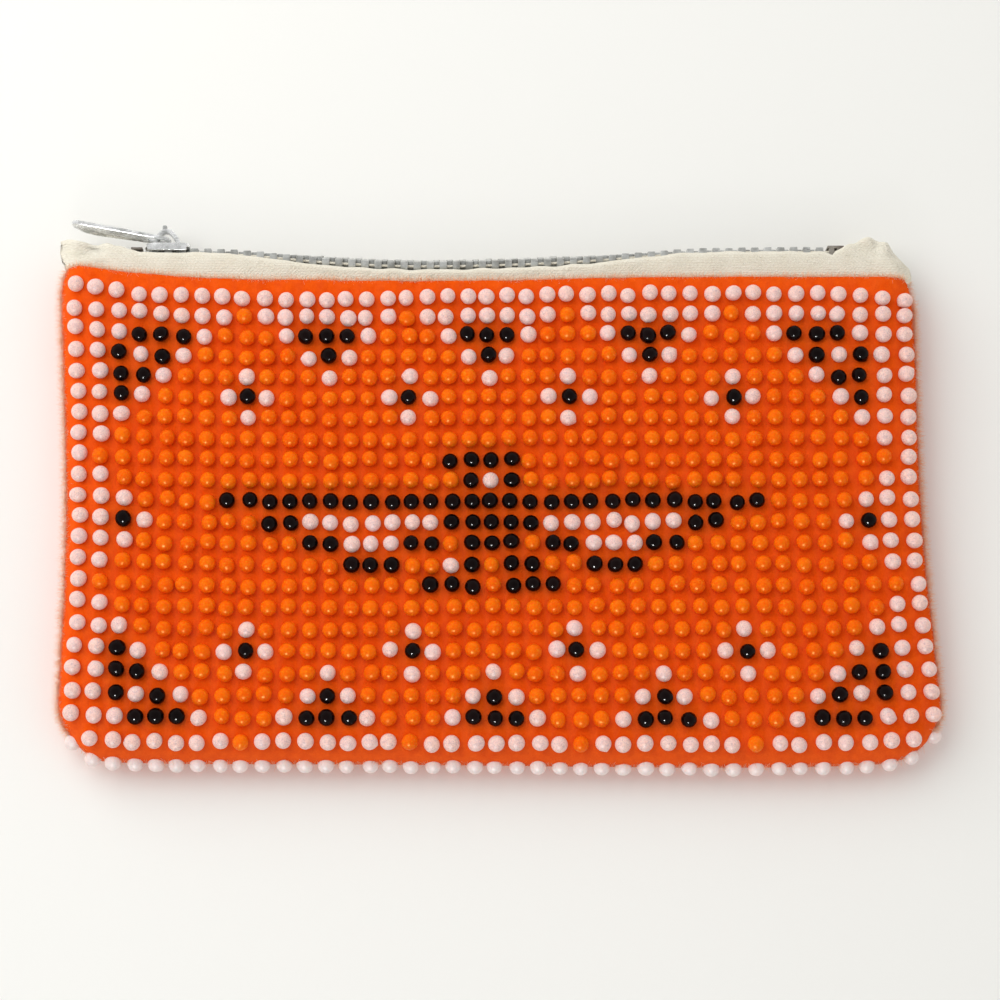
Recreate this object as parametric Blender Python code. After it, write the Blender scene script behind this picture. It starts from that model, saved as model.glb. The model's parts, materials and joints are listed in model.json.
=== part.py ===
"""Zipped coin purse: a beaded felt front and a plain felt back, sewn round three sides.

The purse lies on its back. +X runs along the zip, +Y points from the foot to the zip,
and +Z points out of the beaded front. The origin is the middle of the back's flat face.
"""

from math import copysign, cos, floor, hypot, pi, radians, sin

import bmesh
import bpy
from mathutils import Vector

MM = 0.001

# Beadwork: a square grid of moulded beads on the front
BEAD_COLUMNS = 41
BEAD_ROWS = 23
COLUMN_PITCH = 3.17 * MM
ROW_PITCH = 3.23 * MM
BEAD_HEIGHT = 1.85 * MM
BEAD_CROWN = 1.0 * MM

# Felt panels
FELT = 1.2 * MM
SIDE_MARGIN = 2.5 * MM
TOP_MARGIN = 2.6 * MM
BOTTOM_MARGIN = 1.2 * MM
CORNER_RADIUS = 6.0 * MM
WAIST = 1.2 * MM
TURN_REACH = 5.0 * MM
TURN_POWER = 2.4
FOOT_ROOM = 4.9 * MM
SEAM_GAP = 0.3 * MM
SEAT_GAP = 0.3 * MM

# Zip chain: metal teeth clamped on the cord at each tape's edge
TOOTH_PITCH = 2.02 * MM
TOOTH_ROOT = 1.2 * MM
TOOTH_TIP = 0.8 * MM
TOOTH_LAP = 0.5 * MM
TOOTH_HEIGHT = 1.5 * MM
CHAIN_WIDTH = 3.4 * MM
CORD = 0.8 * MM
CHAIN_RISE = 5.2 * MM

# Zip tapes
TAPE = 0.4 * MM
TAPE_BEND = 0.55 * MM
TAPE_DEPTH = 7.0 * MM
TAPE_CHAIN_GAP = 0.2 * MM
TAPE_SIDE_GAP = 0.6 * MM
EAR_RISE = 2.2 * MM
EAR_GAP = 0.3 * MM
FOLD_FOOT = 1.6 * MM
FOLD_SLOPE = 1.1

# Slider, running on the chain
SLIDER_LENGTH = 7.0 * MM
SLIDER_WALL = 0.6 * MM
SLIDER_FLANGE = 0.55 * MM
RUN_CLEARANCE = 0.15 * MM
TAPE_SLOT = 0.85 * MM
SLIDER_CHAMFER = 0.7 * MM
WEDGE_LENGTH = 2.8 * MM
WEDGE_WIDTH = 1.3 * MM
WEDGE_POINT = 0.3 * MM

# Arch on the slider and the pull tab that hangs in it
ARCH_WIDTH = 1.4 * MM
ARCH_WALL = 0.65 * MM
ARCH_SPAN = 1.6 * MM
ARCH_RISE = 1.4 * MM
PIVOT_HEIGHT = 0.95 * MM
PULL_LENGTH = 15.6 * MM
PULL_THICKNESS = 0.9 * MM
PULL_NECK = 3.2 * MM
PULL_WIDTH = 4.6 * MM
PULL_CORNER = 1.0 * MM
PULL_WINDOW = 2.7 * MM
WINDOW_CLEARANCE = 0.25 * MM
PULL_ANGLE = radians(10)

# Stops at the two ends of the chain
LEFT_EAR = 11.1 * MM
RIGHT_EAR = 12.3 * MM
STOP_LENGTH = 1.8 * MM
BOTTOM_STOP_LENGTH = 2.0 * MM
STOP_WALL = 0.4 * MM
CLAMP_CLEARANCE = 0.15 * MM
STOP_CLEARANCE = 0.3 * MM

# Panel outline, from the bead grid and its margins
HALF_WIDTH = (BEAD_COLUMNS - 1) / 2 * COLUMN_PITCH + SIDE_MARGIN
FIRST_ROW_Y = (BEAD_ROWS - 1) / 2 * ROW_PITCH
MOUTH_Y = FIRST_ROW_Y + TOP_MARGIN
FOOT_Y = -(FIRST_ROW_Y + BOTTOM_MARGIN)

# The mouth is as deep as the slider and the two tapes beside it need
SLIDER_HALF = CHAIN_WIDTH / 2 + RUN_CLEARANCE + SLIDER_FLANGE
LEG_OFFSET = SLIDER_HALF + RUN_CLEARANCE + TAPE / 2
MOUTH_ROOM = 2 * (LEG_OFFSET + TAPE / 2 + SEAT_GAP)

# Zip datum: the middle of the chain
CHAIN_Y = MOUTH_Y + CHAIN_RISE
CHAIN_Z = FELT + MOUTH_ROOM / 2
CORD_OFFSET = CHAIN_WIDTH / 2 - CORD / 2
TOP_STOP_X = -(HALF_WIDTH - LEFT_EAR)
BOTTOM_STOP_X = HALF_WIDTH - RIGHT_EAR
SLIDER_NOSE = TOP_STOP_X + STOP_LENGTH / 2 + STOP_CLEARANCE
SLIDER_TOP = TOOTH_HEIGHT / 2 + RUN_CLEARANCE + SLIDER_WALL
PIVOT = Vector((SLIDER_NOSE + SLIDER_LENGTH / 2, CHAIN_Y + SLIDER_TOP + PIVOT_HEIGHT, CHAIN_Z))
TAPE_END = HALF_WIDTH - FELT - TAPE_SIDE_GAP

# Colours of the felt, the beads, the cotton tape and the bright metal
ORANGE_FELT = (0.90, 0.13, 0.01)
ORANGE_BEAD = (0.95, 0.27, 0.01)
WHITE_BEAD = (0.82, 0.74, 0.76)
BLACK_BEAD = (0.012, 0.010, 0.012)
COTTON = (0.78, 0.75, 0.66)
METAL = (0.72, 0.74, 0.74)

# Half of the spread-winged bird, column by column from its middle, for the grid rows
# that it covers: B is a black bead, W is a white one and a dot is the ground colour
BIRD_HALF = {
    2: "W",
    1: "BBBBBBBBBBBBBB",
    0: "BBBWWWWWWWBB",
    -1: "BB.BBWWWBB",
    -2: ".BB..BBB",
    -3: ".BBB",
}
# Beads of the bird that differ from side to side, as (column, row): its head looks left
BIRD_ODD = {
    (-2, 3): "B",
    (-1, 3): "B",
    (0, 3): "B",
    (1, 3): "B",
    (-1, 2): "B",
    (1, 2): "B",
    (-2, -2): "W",
}
ZIGZAG = 4
ZIGZAG_EDGE = 2
CROSS_COLUMNS = (4, 12)
CROSS_ROW = 6


def clear_scene():
    for old in list(bpy.data.objects):
        bpy.data.objects.remove(old)


def material(name, colour, roughness, metallic=0.0):
    made = bpy.data.materials.new(name)
    made.use_nodes = True
    shader = made.node_tree.nodes["Principled BSDF"]
    shader.inputs["Base Color"].default_value = (*colour, 1.0)
    shader.inputs["Roughness"].default_value = roughness
    shader.inputs["Metallic"].default_value = metallic
    made.diffuse_color = (*colour, 1.0)
    return made


def finish_mesh(name, mesh, materials, place=(0, 0, 0)):
    """A named object from a bmesh, with its materials."""
    mesh.normal_update()
    data = bpy.data.meshes.new(name)
    mesh.to_mesh(data)
    mesh.free()
    for one in materials:
        data.materials.append(one)
    made = bpy.data.objects.new(name, data)
    made.location = place
    bpy.context.scene.collection.objects.link(made)
    return made


def bead_letter(column, row):
    """B, W or a dot: the colour of the bead at a column and a row counted from the middle."""
    if (column, row) in BIRD_ODD:
        return BIRD_ODD[column, row]
    half = BIRD_HALF.get(row, "")
    if abs(column) < len(half):
        return half[abs(column)]
    from_top = (BEAD_ROWS - 1) // 2 - abs(row)
    from_side = (BEAD_COLUMNS - 1) // 2 - abs(column)
    period = 2 * ZIGZAG
    from_peak = min(abs(column) % period, period - abs(column) % period)
    side_peak = min(abs(row) + 1, abs(abs(row) - (period - 1)))
    for depth, off_peak in ((from_top, from_peak), (from_side, side_peak)):
        if depth + off_peak == ZIGZAG:
            return "W"
        if depth + off_peak < ZIGZAG:
            return "W" if depth < ZIGZAG_EDGE else "B"
    for cross in CROSS_COLUMNS:
        steps = abs(abs(column) - cross) + abs(abs(row) - CROSS_ROW)
        if steps < 2:
            return "BW"[steps]
    return "."


def outer_height(y):
    """Height of the front's outer face over its flat middle: the purse is deepest at the mouth."""
    share = (y - FOOT_Y) / (MOUTH_Y - FOOT_Y)
    return 2 * FELT + FOOT_ROOM + (MOUTH_ROOM - FOOT_ROOM) * share


def fall(depth, reach, drop):
    """How far a turned edge has fallen at a depth inside its outline."""
    share = min(1.0, max(0.0, 1 - depth / reach))
    return drop * (1 - (1 - share**TURN_POWER) ** (1 / TURN_POWER))


def face_height(side, inset, x, y):
    """Height of a felt face. side is 1 for the front and -1 for the back; inset is 0 for the
    outer face and FELT for the inner one."""
    depth = min(HALF_WIDTH - inset - abs(x), y - FOOT_Y - inset)
    whole = outer_height(y)
    flat = whole - inset
    seam = whole / 2 + SEAM_GAP / 2
    height = flat - fall(depth, TURN_REACH - inset, flat - seam)
    return height if side > 0 else whole - height


def plan(x, y):
    """Where a point of the flat layout lies seen from above: the lower corners are rounded,
    and the sides are drawn in at the waist."""
    over_x = abs(x) - (HALF_WIDTH - CORNER_RADIUS)
    over_y = FOOT_Y + CORNER_RADIUS - y
    if over_x > 0 and over_y > 0:
        pull = max(over_x, over_y) / hypot(over_x, over_y)
        x = copysign(HALF_WIDTH - CORNER_RADIUS + over_x * pull, x)
        y = FOOT_Y + CORNER_RADIUS - over_y * pull
    share = min(1.0, (y - FOOT_Y) / (MOUTH_Y - FOOT_Y))
    return x * (1 - WAIST / HALF_WIDTH * 4 * share * (1 - share)), y


def felt_point(side, inset, x, y):
    return Vector((*plan(x, y), face_height(side, inset, x, y)))


def felt_axes(x, y):
    """Unit vectors east, north and outward on the front's outer face."""
    step = 0.05 * MM
    east = felt_point(1, 0, x + step, y) - felt_point(1, 0, x - step, y)
    north = felt_point(1, 0, x, y + step) - felt_point(1, 0, x, y - step)
    out = east.cross(north).normalized()
    east.normalize()
    return east, out.cross(east), out


def grid_lines(count, pitch, first, last):
    """Lines between neighbouring beads, with the panel's own edges at the two ends."""
    middle = (count - 1) / 2
    return [first, *((k + 0.5 - middle) * pitch for k in range(count - 1)), last]


def add_bead(mesh, corners, x, y):
    """A faceted bead that rises from its whole cell to a small flat crown."""
    east, north, out = felt_axes(x, y)
    top = felt_point(1, 0, x, y) + out * BEAD_HEIGHT
    crown = [mesh.verts.new(top + way * BEAD_CROWN) for way in (-north, east, north, -east)]
    made = []
    for k in range(4):
        near, far = corners[k], corners[(k + 1) % 4]
        made.append(mesh.faces.new((near, far, crown[k])))
        made.append(mesh.faces.new((far, crown[(k + 1) % 4], crown[k])))
    made.append(mesh.faces.new(crown))
    return made


def inset_point(side, face_inset, layout, by):
    """A point of the outline moved in: the whole outline shrinks towards the mouth's middle."""
    x, y = layout
    across = (HALF_WIDTH - by) / HALF_WIDTH
    along = (MOUTH_Y - FOOT_Y - by) / (MOUTH_Y - FOOT_Y)
    return felt_point(side, face_inset, x * across, MOUTH_Y - (MOUTH_Y - y) * along)


def bridge(mesh, one, other):
    for k in range(len(one) - 1):
        mesh.faces.new((one[k], one[k + 1], other[k + 1], other[k]))


def inner_skin(mesh, side, outline, outer_edge):
    """The seam's face and the inner face, from the outline in. Returns the mouth's inner line."""
    reach = TURN_REACH - FELT
    rings = [outer_edge]
    for by in (FELT, FELT + 0.08 * reach, FELT + 0.35 * reach, FELT + reach):
        rings.append([mesh.verts.new(inset_point(side, FELT, p, by)) for p in outline])
        bridge(mesh, rings[-2], rings[-1])
    mesh.faces.new(rings[-1])
    return [ring[0] for ring in rings[1:]] + [ring[-1] for ring in reversed(rings[1:])]


def open_outline(xs, ys):
    """Layout points round the three sewn sides, from the mouth's left end to its right end."""
    left = [(xs[0], y) for y in reversed(ys)]
    foot = [(x, ys[0]) for x in xs[1:-1]]
    right = [(xs[-1], y) for y in ys]
    return left + foot + right


def front_panel(felt, beads):
    xs = grid_lines(BEAD_COLUMNS, COLUMN_PITCH, -HALF_WIDTH, HALF_WIDTH)
    ys = grid_lines(BEAD_ROWS, ROW_PITCH, FOOT_Y, FIRST_ROW_Y + ROW_PITCH / 2)
    mesh = bmesh.new()
    node = {(i, j): mesh.verts.new(felt_point(1, 0, x, y))
            for i, x in enumerate(xs) for j, y in enumerate(ys)}
    middle_column, middle_row = (BEAD_COLUMNS - 1) // 2, (BEAD_ROWS - 1) // 2
    for i in range(BEAD_COLUMNS):
        for j in range(BEAD_ROWS):
            corners = [node[i, j], node[i + 1, j], node[i + 1, j + 1], node[i, j + 1]]
            column, row = i - middle_column, j - middle_row
            if j == 0 and abs(column) == middle_column:
                mesh.faces.new(corners)
                continue
            colour = beads.index(bead_letter(column, row)) + 1
            for face in add_bead(mesh, corners, column * COLUMN_PITCH, row * ROW_PITCH):
                face.material_index = colour
    mouth = [mesh.verts.new(felt_point(1, 0, x, MOUTH_Y)) for x in xs]
    last = len(ys) - 1
    bridge(mesh, [node[i, last] for i in range(len(xs))], mouth)
    at_mouth = {0: mouth[0], len(xs) - 1: mouth[-1]}
    edge = [at_mouth[0], *(node[0, j] for j in range(last, -1, -1)),
            *(node[i, 0] for i in range(1, len(xs) - 1)),
            *(node[len(xs) - 1, j] for j in range(last + 1)), at_mouth[len(xs) - 1]]
    lip = inner_skin(mesh, 1, open_outline(xs, [*ys, MOUTH_Y]), edge)
    mesh.faces.new([*reversed(mouth), *lip])
    bmesh.ops.recalc_face_normals(mesh, faces=mesh.faces)
    return finish_mesh("front_panel", mesh, felt)


def back_lines(lines, keep_every):
    """Fewer lines, with those of the corners kept, because the back has no beads."""
    inner = lines[2:-2]
    return [*lines[:2], *inner[::keep_every], *lines[-2:]]


def back_panel(felt):
    xs = back_lines(grid_lines(BEAD_COLUMNS, COLUMN_PITCH, -HALF_WIDTH, HALF_WIDTH), 4)
    rows = grid_lines(BEAD_ROWS, ROW_PITCH, FOOT_Y, FIRST_ROW_Y + ROW_PITCH / 2)
    outline = open_outline(xs, [*back_lines(rows, 3)[:-1], MOUTH_Y])
    mesh = bmesh.new()
    rings = []
    for by in (0, 0.04, 0.15, 0.35, 1):
        rings.append([mesh.verts.new(inset_point(-1, 0, p, by * TURN_REACH)) for p in outline])
        if len(rings) > 1:
            bridge(mesh, rings[-2], rings[-1])
    mesh.faces.new(rings[-1])
    lip = inner_skin(mesh, -1, outline, rings[0])
    outside = [ring[0] for ring in rings[1:]] + [ring[-1] for ring in reversed(rings[1:])]
    mesh.faces.new([rings[0][0], *outside, rings[0][-1], *reversed(lip)])
    bmesh.ops.recalc_face_normals(mesh, faces=mesh.faces)
    return finish_mesh("back_panel", mesh, [felt])


def ear_share(x):
    """0 along the chain, rising to 1 in the folded tape ends past the stops."""
    past_left = TOP_STOP_X - STOP_LENGTH / 2 - x
    past_right = x - BOTTOM_STOP_X - BOTTOM_STOP_LENGTH / 2
    past, length = max((past_left, LEFT_EAR), (past_right, RIGHT_EAR))
    share = min(1.0, max(0.0, 2.2 * past / (length - STOP_LENGTH)))
    return share * share * (3 - 2 * share)


def tape_top(x, ear):
    """Height of the tape's top along Y: its right-hand end is folded down on a slope."""
    folded = MOUTH_Y + FOLD_FOOT + FOLD_SLOPE * (TAPE_END - x)
    return min(CHAIN_Y + EAR_RISE * ear, folded)


def tape_section(side, x):
    """Outline of one tape across the zip: an edge beside the chain, a bend and a leg inside
    the felt."""
    ear = ear_share(x)
    bottom = MOUTH_Y - TAPE_DEPTH
    leg_top = side * (face_height(side, FELT, x, MOUTH_Y) - CHAIN_Z) - SEAT_GAP - TAPE / 2
    leg_bottom = side * (face_height(side, FELT, x, bottom) - CHAIN_Z) - SEAT_GAP - TAPE / 2
    edge = CHAIN_WIDTH / 2 + TAPE_CHAIN_GAP
    edge += (EAR_GAP / 2 - edge) * ear
    edge = min(edge, leg_top - TAPE_BEND)
    top = tape_top(x, ear)
    arc = [radians(90 - 22.5 * k) for k in range(5)]

    def wall(half):
        bend = [(leg_top - TAPE_BEND + (TAPE_BEND + half) * cos(a),
                 top - TAPE_BEND + (TAPE_BEND + half) * sin(a)) for a in arc]
        return [(edge, top + half), *bend, (leg_bottom + half, bottom)]

    loop = wall(TAPE / 2) + wall(-TAPE / 2)[::-1]
    return [Vector((*plan(x, y), CHAIN_Z + side * offset)) for offset, y in loop]


def tape(name, side, cotton):
    left_end, right_end = TOP_STOP_X - STOP_LENGTH / 2, BOTTOM_STOP_X + BOTTOM_STOP_LENGTH / 2
    left = [-TAPE_END + (left_end + TAPE_END) * k / 6 for k in range(7)]
    right = [right_end + (TAPE_END - right_end) * k / 6 for k in range(7)]
    mesh = bmesh.new()
    sections = [[mesh.verts.new(p) for p in tape_section(side, x)] for x in left + right]
    for one, other in zip(sections, sections[1:]):
        bridge(mesh, [*one, one[0]], [*other, other[0]])
    mesh.faces.new(sections[0])
    mesh.faces.new(sections[-1])
    bmesh.ops.recalc_face_normals(mesh, faces=mesh.faces)
    return finish_mesh(name, mesh, [cotton])


def add_prism(mesh, outline, axis, low, high):
    """A closed prism: outline holds pairs in the other two axes, in X, Y, Z order."""
    ends = []
    for level in (low, high):
        loop = []
        for first, second in outline:
            place = [first, second]
            place.insert(axis, level)
            loop.append(mesh.verts.new(place))
        ends.append(loop)
    bridge(mesh, [*ends[0], ends[0][0]], [*ends[1], ends[1][0]])
    mesh.faces.new(ends[0])
    mesh.faces.new(ends[1])


def box_outline(low, high):
    return [(low[0], low[1]), (high[0], low[1]), (high[0], high[1]), (low[0], high[1])]


def solid_prism(name, outline, axis, low, high, metal, place=(0, 0, 0)):
    mesh = bmesh.new()
    add_prism(mesh, outline, axis, low, high)
    bmesh.ops.recalc_face_normals(mesh, faces=mesh.faces)
    return finish_mesh(name, mesh, [metal], place)


def combine(target, tool, operation):
    """A Boolean of the target with a tool that isn't itself part of the purse."""
    tool.hide_render = True
    tool.display_type = "WIRE"
    modifier = target.modifiers.new(operation.title() + " " + tool.name, "BOOLEAN")
    modifier.operation = operation
    modifier.object = tool
    modifier.solver = "EXACT"


def tooth_places(shift):
    """Places of one row of teeth, from the slider's wedge to the bottom stop."""
    first = SLIDER_NOSE + WEDGE_LENGTH + STOP_CLEARANCE + TOOTH_ROOT / 2
    last = BOTTOM_STOP_X - BOTTOM_STOP_LENGTH / 2 - STOP_CLEARANCE - TOOTH_ROOT / 2
    count = floor((last - first) / TOOTH_PITCH - shift) + 1
    return [first + (k + shift) * TOOTH_PITCH for k in range(count)]


def chain(name, side, metal):
    """One half of the chain: a cord with its row of tapered teeth."""
    start = TOP_STOP_X - STOP_LENGTH / 2 - STOP_CLEARANCE
    end = BOTTOM_STOP_X + BOTTOM_STOP_LENGTH / 2 + STOP_CLEARANCE
    cord_z = CHAIN_Z + side * CORD_OFFSET
    cord = box_outline((CHAIN_Y - CORD / 2, cord_z - CORD / 2), (CHAIN_Y + CORD / 2, cord_z + CORD / 2))
    half = solid_prism(name, cord, 0, start, end, metal)
    mesh = bmesh.new()
    for x in tooth_places(0.0 if side > 0 else 0.5):
        outline = [
            (x - TOOTH_ROOT / 2, CHAIN_Z + side * CHAIN_WIDTH / 2),
            (x + TOOTH_ROOT / 2, CHAIN_Z + side * CHAIN_WIDTH / 2),
            (x + TOOTH_TIP / 2, CHAIN_Z - side * TOOTH_LAP),
            (x - TOOTH_TIP / 2, CHAIN_Z - side * TOOTH_LAP),
        ]
        add_prism(mesh, outline, 1, CHAIN_Y - TOOTH_HEIGHT / 2, CHAIN_Y + TOOTH_HEIGHT / 2)
    bmesh.ops.recalc_face_normals(mesh, faces=mesh.faces)
    teeth = finish_mesh(name + "_teeth", mesh, [metal])
    combine(half, teeth, "UNION")
    return half


def slider_outline():
    """The slider's plates in plan, chamfered at the nose and at the tail."""
    cut = SLIDER_CHAMFER
    tail = SLIDER_LENGTH
    nose = [(0, SLIDER_HALF - cut), (cut, SLIDER_HALF)]
    half = nose + [(tail - cut, SLIDER_HALF), (tail, SLIDER_HALF - cut)]
    return half + [(x, -z) for x, z in reversed(half)]


def channel_outline():
    """The chain's way through the slider, parted by the wedge at the nose."""
    half = CHAIN_WIDTH / 2 + RUN_CLEARANCE
    past = SLIDER_WALL
    tail = SLIDER_LENGTH + past
    neck = WEDGE_LENGTH / 3
    one_side = [(tail, half), (-past, half), (-past, WEDGE_WIDTH / 4), (neck, WEDGE_WIDTH / 2),
                (WEDGE_LENGTH, WEDGE_POINT / 2)]
    return one_side + [(x, -z) for x, z in reversed(one_side)]


def arch_outline():
    """The arch that holds the pull, seen along Z, round the pivot."""
    pivot_x = SLIDER_LENGTH / 2
    pivot_y = SLIDER_TOP + PIVOT_HEIGHT
    foot = SLIDER_TOP - SLIDER_WALL / 2
    turns = [pi * k / 8 for k in range(9)]

    def curve(across, up, angles):
        points = [(pivot_x + across * cos(a), pivot_y + up * sin(a)) for a in angles]
        return [(points[0][0], foot), *points, (points[-1][0], foot)]

    outer = curve(ARCH_SPAN + ARCH_WALL, ARCH_RISE + ARCH_WALL, turns)
    return outer + curve(ARCH_SPAN, ARCH_RISE, turns[::-1])


def slider(metal):
    """Two plates joined by a wedge, flanged at the sides, with an arch on top."""
    place = (SLIDER_NOSE, CHAIN_Y, CHAIN_Z)
    body = solid_prism("slider_body", slider_outline(), 1, -SLIDER_TOP, SLIDER_TOP, metal, place)
    room = TOOTH_HEIGHT / 2 + RUN_CLEARANCE
    channel = solid_prism("slider_channel", channel_outline(), 1, -room, room, metal, place)
    past = SLIDER_WALL
    slot = box_outline((-past, SLIDER_HALF - SLIDER_FLANGE - past / 2),
                       (SLIDER_LENGTH + past, SLIDER_HALF + past))
    slots = bmesh.new()
    add_prism(slots, slot, 1, -TAPE_SLOT / 2, TAPE_SLOT / 2)
    add_prism(slots, [(x, -z) for x, z in slot], 1, -TAPE_SLOT / 2, TAPE_SLOT / 2)
    bmesh.ops.recalc_face_normals(slots, faces=slots.faces)
    tape_slots = finish_mesh("slider_tape_slots", slots, [metal], place)
    arch = solid_prism("slider_arch", arch_outline(), 2, -ARCH_WIDTH / 2, ARCH_WIDTH / 2, metal, place)
    combine(body, channel, "DIFFERENCE")
    combine(body, tape_slots, "DIFFERENCE")
    combine(body, arch, "UNION")
    return body


def pull_tab(metal):
    """A tapered tab whose bar lies under the arch. Its own origin is on the pivot."""
    bar = PULL_THICKNESS / 2
    tip = bar - PULL_LENGTH
    shoulder = -(bar + PULL_WINDOW)
    half = [(bar, PULL_NECK / 2), (shoulder, PULL_NECK / 2), (tip + PULL_CORNER, PULL_WIDTH / 2),
            (tip + 0.3 * PULL_CORNER, PULL_WIDTH / 2 - 0.3 * PULL_CORNER), (tip, PULL_WIDTH / 2 - PULL_CORNER)]
    outline = half + [(x, -z) for x, z in reversed(half)]
    tab = solid_prism("pull_tab", outline, 1, -PULL_THICKNESS / 2, PULL_THICKNESS / 2, metal, PIVOT)
    rail = ARCH_WIDTH / 2 + WINDOW_CLEARANCE
    window = solid_prism("pull_window", box_outline((shoulder, -rail), (-bar, rail)), 1,
                         -PULL_THICKNESS, PULL_THICKNESS, metal, PIVOT)
    combine(tab, window, "DIFFERENCE")
    for piece in (tab, window):
        piece.rotation_euler.z = -PULL_ANGLE
    return tab


def top_stop(name, side, metal):
    """A clip bent over one cord, open towards the tape."""
    near = CORD_OFFSET - CORD / 2 - CLAMP_CLEARANCE
    far = CHAIN_WIDTH / 2 + TAPE_CHAIN_GAP / 2
    inside, outside = CORD / 2 + CLAMP_CLEARANCE, CORD / 2 + CLAMP_CLEARANCE + STOP_WALL
    clip = [(-outside, far), (-outside, near - STOP_WALL), (outside, near - STOP_WALL), (outside, far),
            (inside, far), (inside, near), (-inside, near), (-inside, far)]
    profile = [(CHAIN_Y + y, CHAIN_Z + side * z) for y, z in clip]
    start = TOP_STOP_X - STOP_LENGTH / 2
    return solid_prism(name, profile, 0, start, start + STOP_LENGTH, metal)


def bottom_stop(metal):
    """A block clamped over both cords, with a web between them."""
    web = CORD_OFFSET - CORD / 2 - CLAMP_CLEARANCE
    far = CHAIN_WIDTH / 2 + TAPE_CHAIN_GAP / 2
    inside, outside = CORD / 2 + CLAMP_CLEARANCE, CORD / 2 + CLAMP_CLEARANCE + STOP_WALL
    quarter = [(inside, web), (inside, far), (outside, far)]
    upper = quarter + [(y, -z) for y, z in reversed(quarter)]
    profile = upper + [(-y, z) for y, z in reversed(upper)]
    start = BOTTOM_STOP_X - BOTTOM_STOP_LENGTH / 2
    placed = [(CHAIN_Y + y, CHAIN_Z + z) for y, z in profile]
    return solid_prism("bottom_stop", placed, 0, start, start + BOTTOM_STOP_LENGTH, metal)


def build():
    clear_scene()
    felt = material("orange_felt", ORANGE_FELT, 0.95)
    ground = material("orange_bead", ORANGE_BEAD, 0.35)
    white = material("white_bead", WHITE_BEAD, 0.4)
    black = material("black_bead", BLACK_BEAD, 0.12)
    cotton = material("cotton_tape", COTTON, 0.9)
    metal = material("bright_metal", METAL, 0.3, 1.0)
    front_panel([felt, ground, white, black], ".WB")
    back_panel(felt)
    tape("tape_front", 1, cotton)
    tape("tape_back", -1, cotton)
    chain("chain_front", 1, metal)
    chain("chain_back", -1, metal)
    slider(metal)
    pull_tab(metal)
    top_stop("top_stop_front", 1, metal)
    top_stop("top_stop_back", -1, metal)
    bottom_stop(metal)


build()
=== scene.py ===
"""Looks of the beaded coin purse: felt, beads, cotton tapes and the metal zip.

All sizes are metres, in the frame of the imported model: +X along the zip, +Y from the
foot to the zip, +Z out of the beaded front.
"""

import json
from math import cos, pi, radians, sin, tau

import bmesh
import bpy
import numpy as np
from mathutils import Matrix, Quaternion, Vector

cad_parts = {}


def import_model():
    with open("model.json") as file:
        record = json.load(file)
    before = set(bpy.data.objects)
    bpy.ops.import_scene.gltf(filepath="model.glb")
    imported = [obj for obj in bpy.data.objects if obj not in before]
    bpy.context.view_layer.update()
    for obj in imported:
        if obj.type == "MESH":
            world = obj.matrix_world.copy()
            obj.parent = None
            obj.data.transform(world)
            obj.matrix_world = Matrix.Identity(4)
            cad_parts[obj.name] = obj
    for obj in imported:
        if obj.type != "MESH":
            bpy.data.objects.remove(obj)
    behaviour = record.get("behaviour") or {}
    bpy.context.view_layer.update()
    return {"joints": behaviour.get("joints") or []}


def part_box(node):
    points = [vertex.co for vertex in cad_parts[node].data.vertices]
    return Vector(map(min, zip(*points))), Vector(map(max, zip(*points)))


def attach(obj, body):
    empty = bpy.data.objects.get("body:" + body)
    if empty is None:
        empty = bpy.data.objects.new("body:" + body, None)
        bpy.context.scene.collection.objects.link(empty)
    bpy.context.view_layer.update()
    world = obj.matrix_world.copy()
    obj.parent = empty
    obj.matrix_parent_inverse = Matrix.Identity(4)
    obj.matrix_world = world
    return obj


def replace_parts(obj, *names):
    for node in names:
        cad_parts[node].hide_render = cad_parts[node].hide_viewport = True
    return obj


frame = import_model()

MM = 0.001

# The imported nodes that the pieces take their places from
MOUTH_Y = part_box("back_panel")[1].y
CHAIN_BOXES = (*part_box("chain_front"), *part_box("chain_back"))
CHAIN_Y = (min(p.y for p in CHAIN_BOXES) + max(p.y for p in CHAIN_BOXES)) / 2
CHAIN_Z = (min(p.z for p in CHAIN_BOXES) + max(p.z for p in CHAIN_BOXES)) / 2
SLIDER_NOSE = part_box("slider_body")[0].x
TOP_STOP_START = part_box("top_stop_front")[0].x
TOP_STOP_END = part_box("top_stop_front")[1].x
BOTTOM_STOP_X = sum(p.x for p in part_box("bottom_stop")) / 2
TAPE_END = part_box("tape_front")[1].x

# Beadwork
BEAD_COLUMNS = 41
BEAD_ROWS = 23
COLUMN_PITCH = 3.17 * MM
ROW_PITCH = 3.23 * MM
BEAD_RADIUS = 1.21 * MM
BEAD_SEAT = 0.62 * MM
BEAD_SHIFT = 0.14 * MM
BEAD_STRETCH = 0.035
NIB_HEIGHT = 0.17
NIB_WIDTH = 0.035
# The beads at the foot sit deeper, almost on the outline
EDGE_BEAD_SEAT = 0.18 * MM
EDGE_BEAD_DEPTH = 0.03 * MM
SPAN_X = (BEAD_COLUMNS - 1) / 2 * COLUMN_PITCH
SPAN_Y = (BEAD_ROWS - 1) / 2 * ROW_PITCH

# Felt: the margins are counted from the middles of the outer beads
FELT = 1.2 * MM
SIDE_MARGIN = 2.2 * MM
FOOT_MARGIN = -0.4 * MM
CORNER_RADIUS = 8.0 * MM
# The mouth's corners are tucked in
MOUTH_ROUND = 3.5 * MM
MOUTH_TUCK = 0.7 * MM
MOUTH_TUCK_REACH = 6.0 * MM
# The panels turn down to the seam round their edges
TURN_REACH = 5.0 * MM
TURN_POWER = 2.4
FOOT_DEPTH = 7.3 * MM
MOUTH_DEPTH = 8.9 * MM
SEAM_GAP = 0.12 * MM
HALF_WIDTH = SPAN_X + SIDE_MARGIN
FOOT_Y = -SPAN_Y - FOOT_MARGIN
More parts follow.
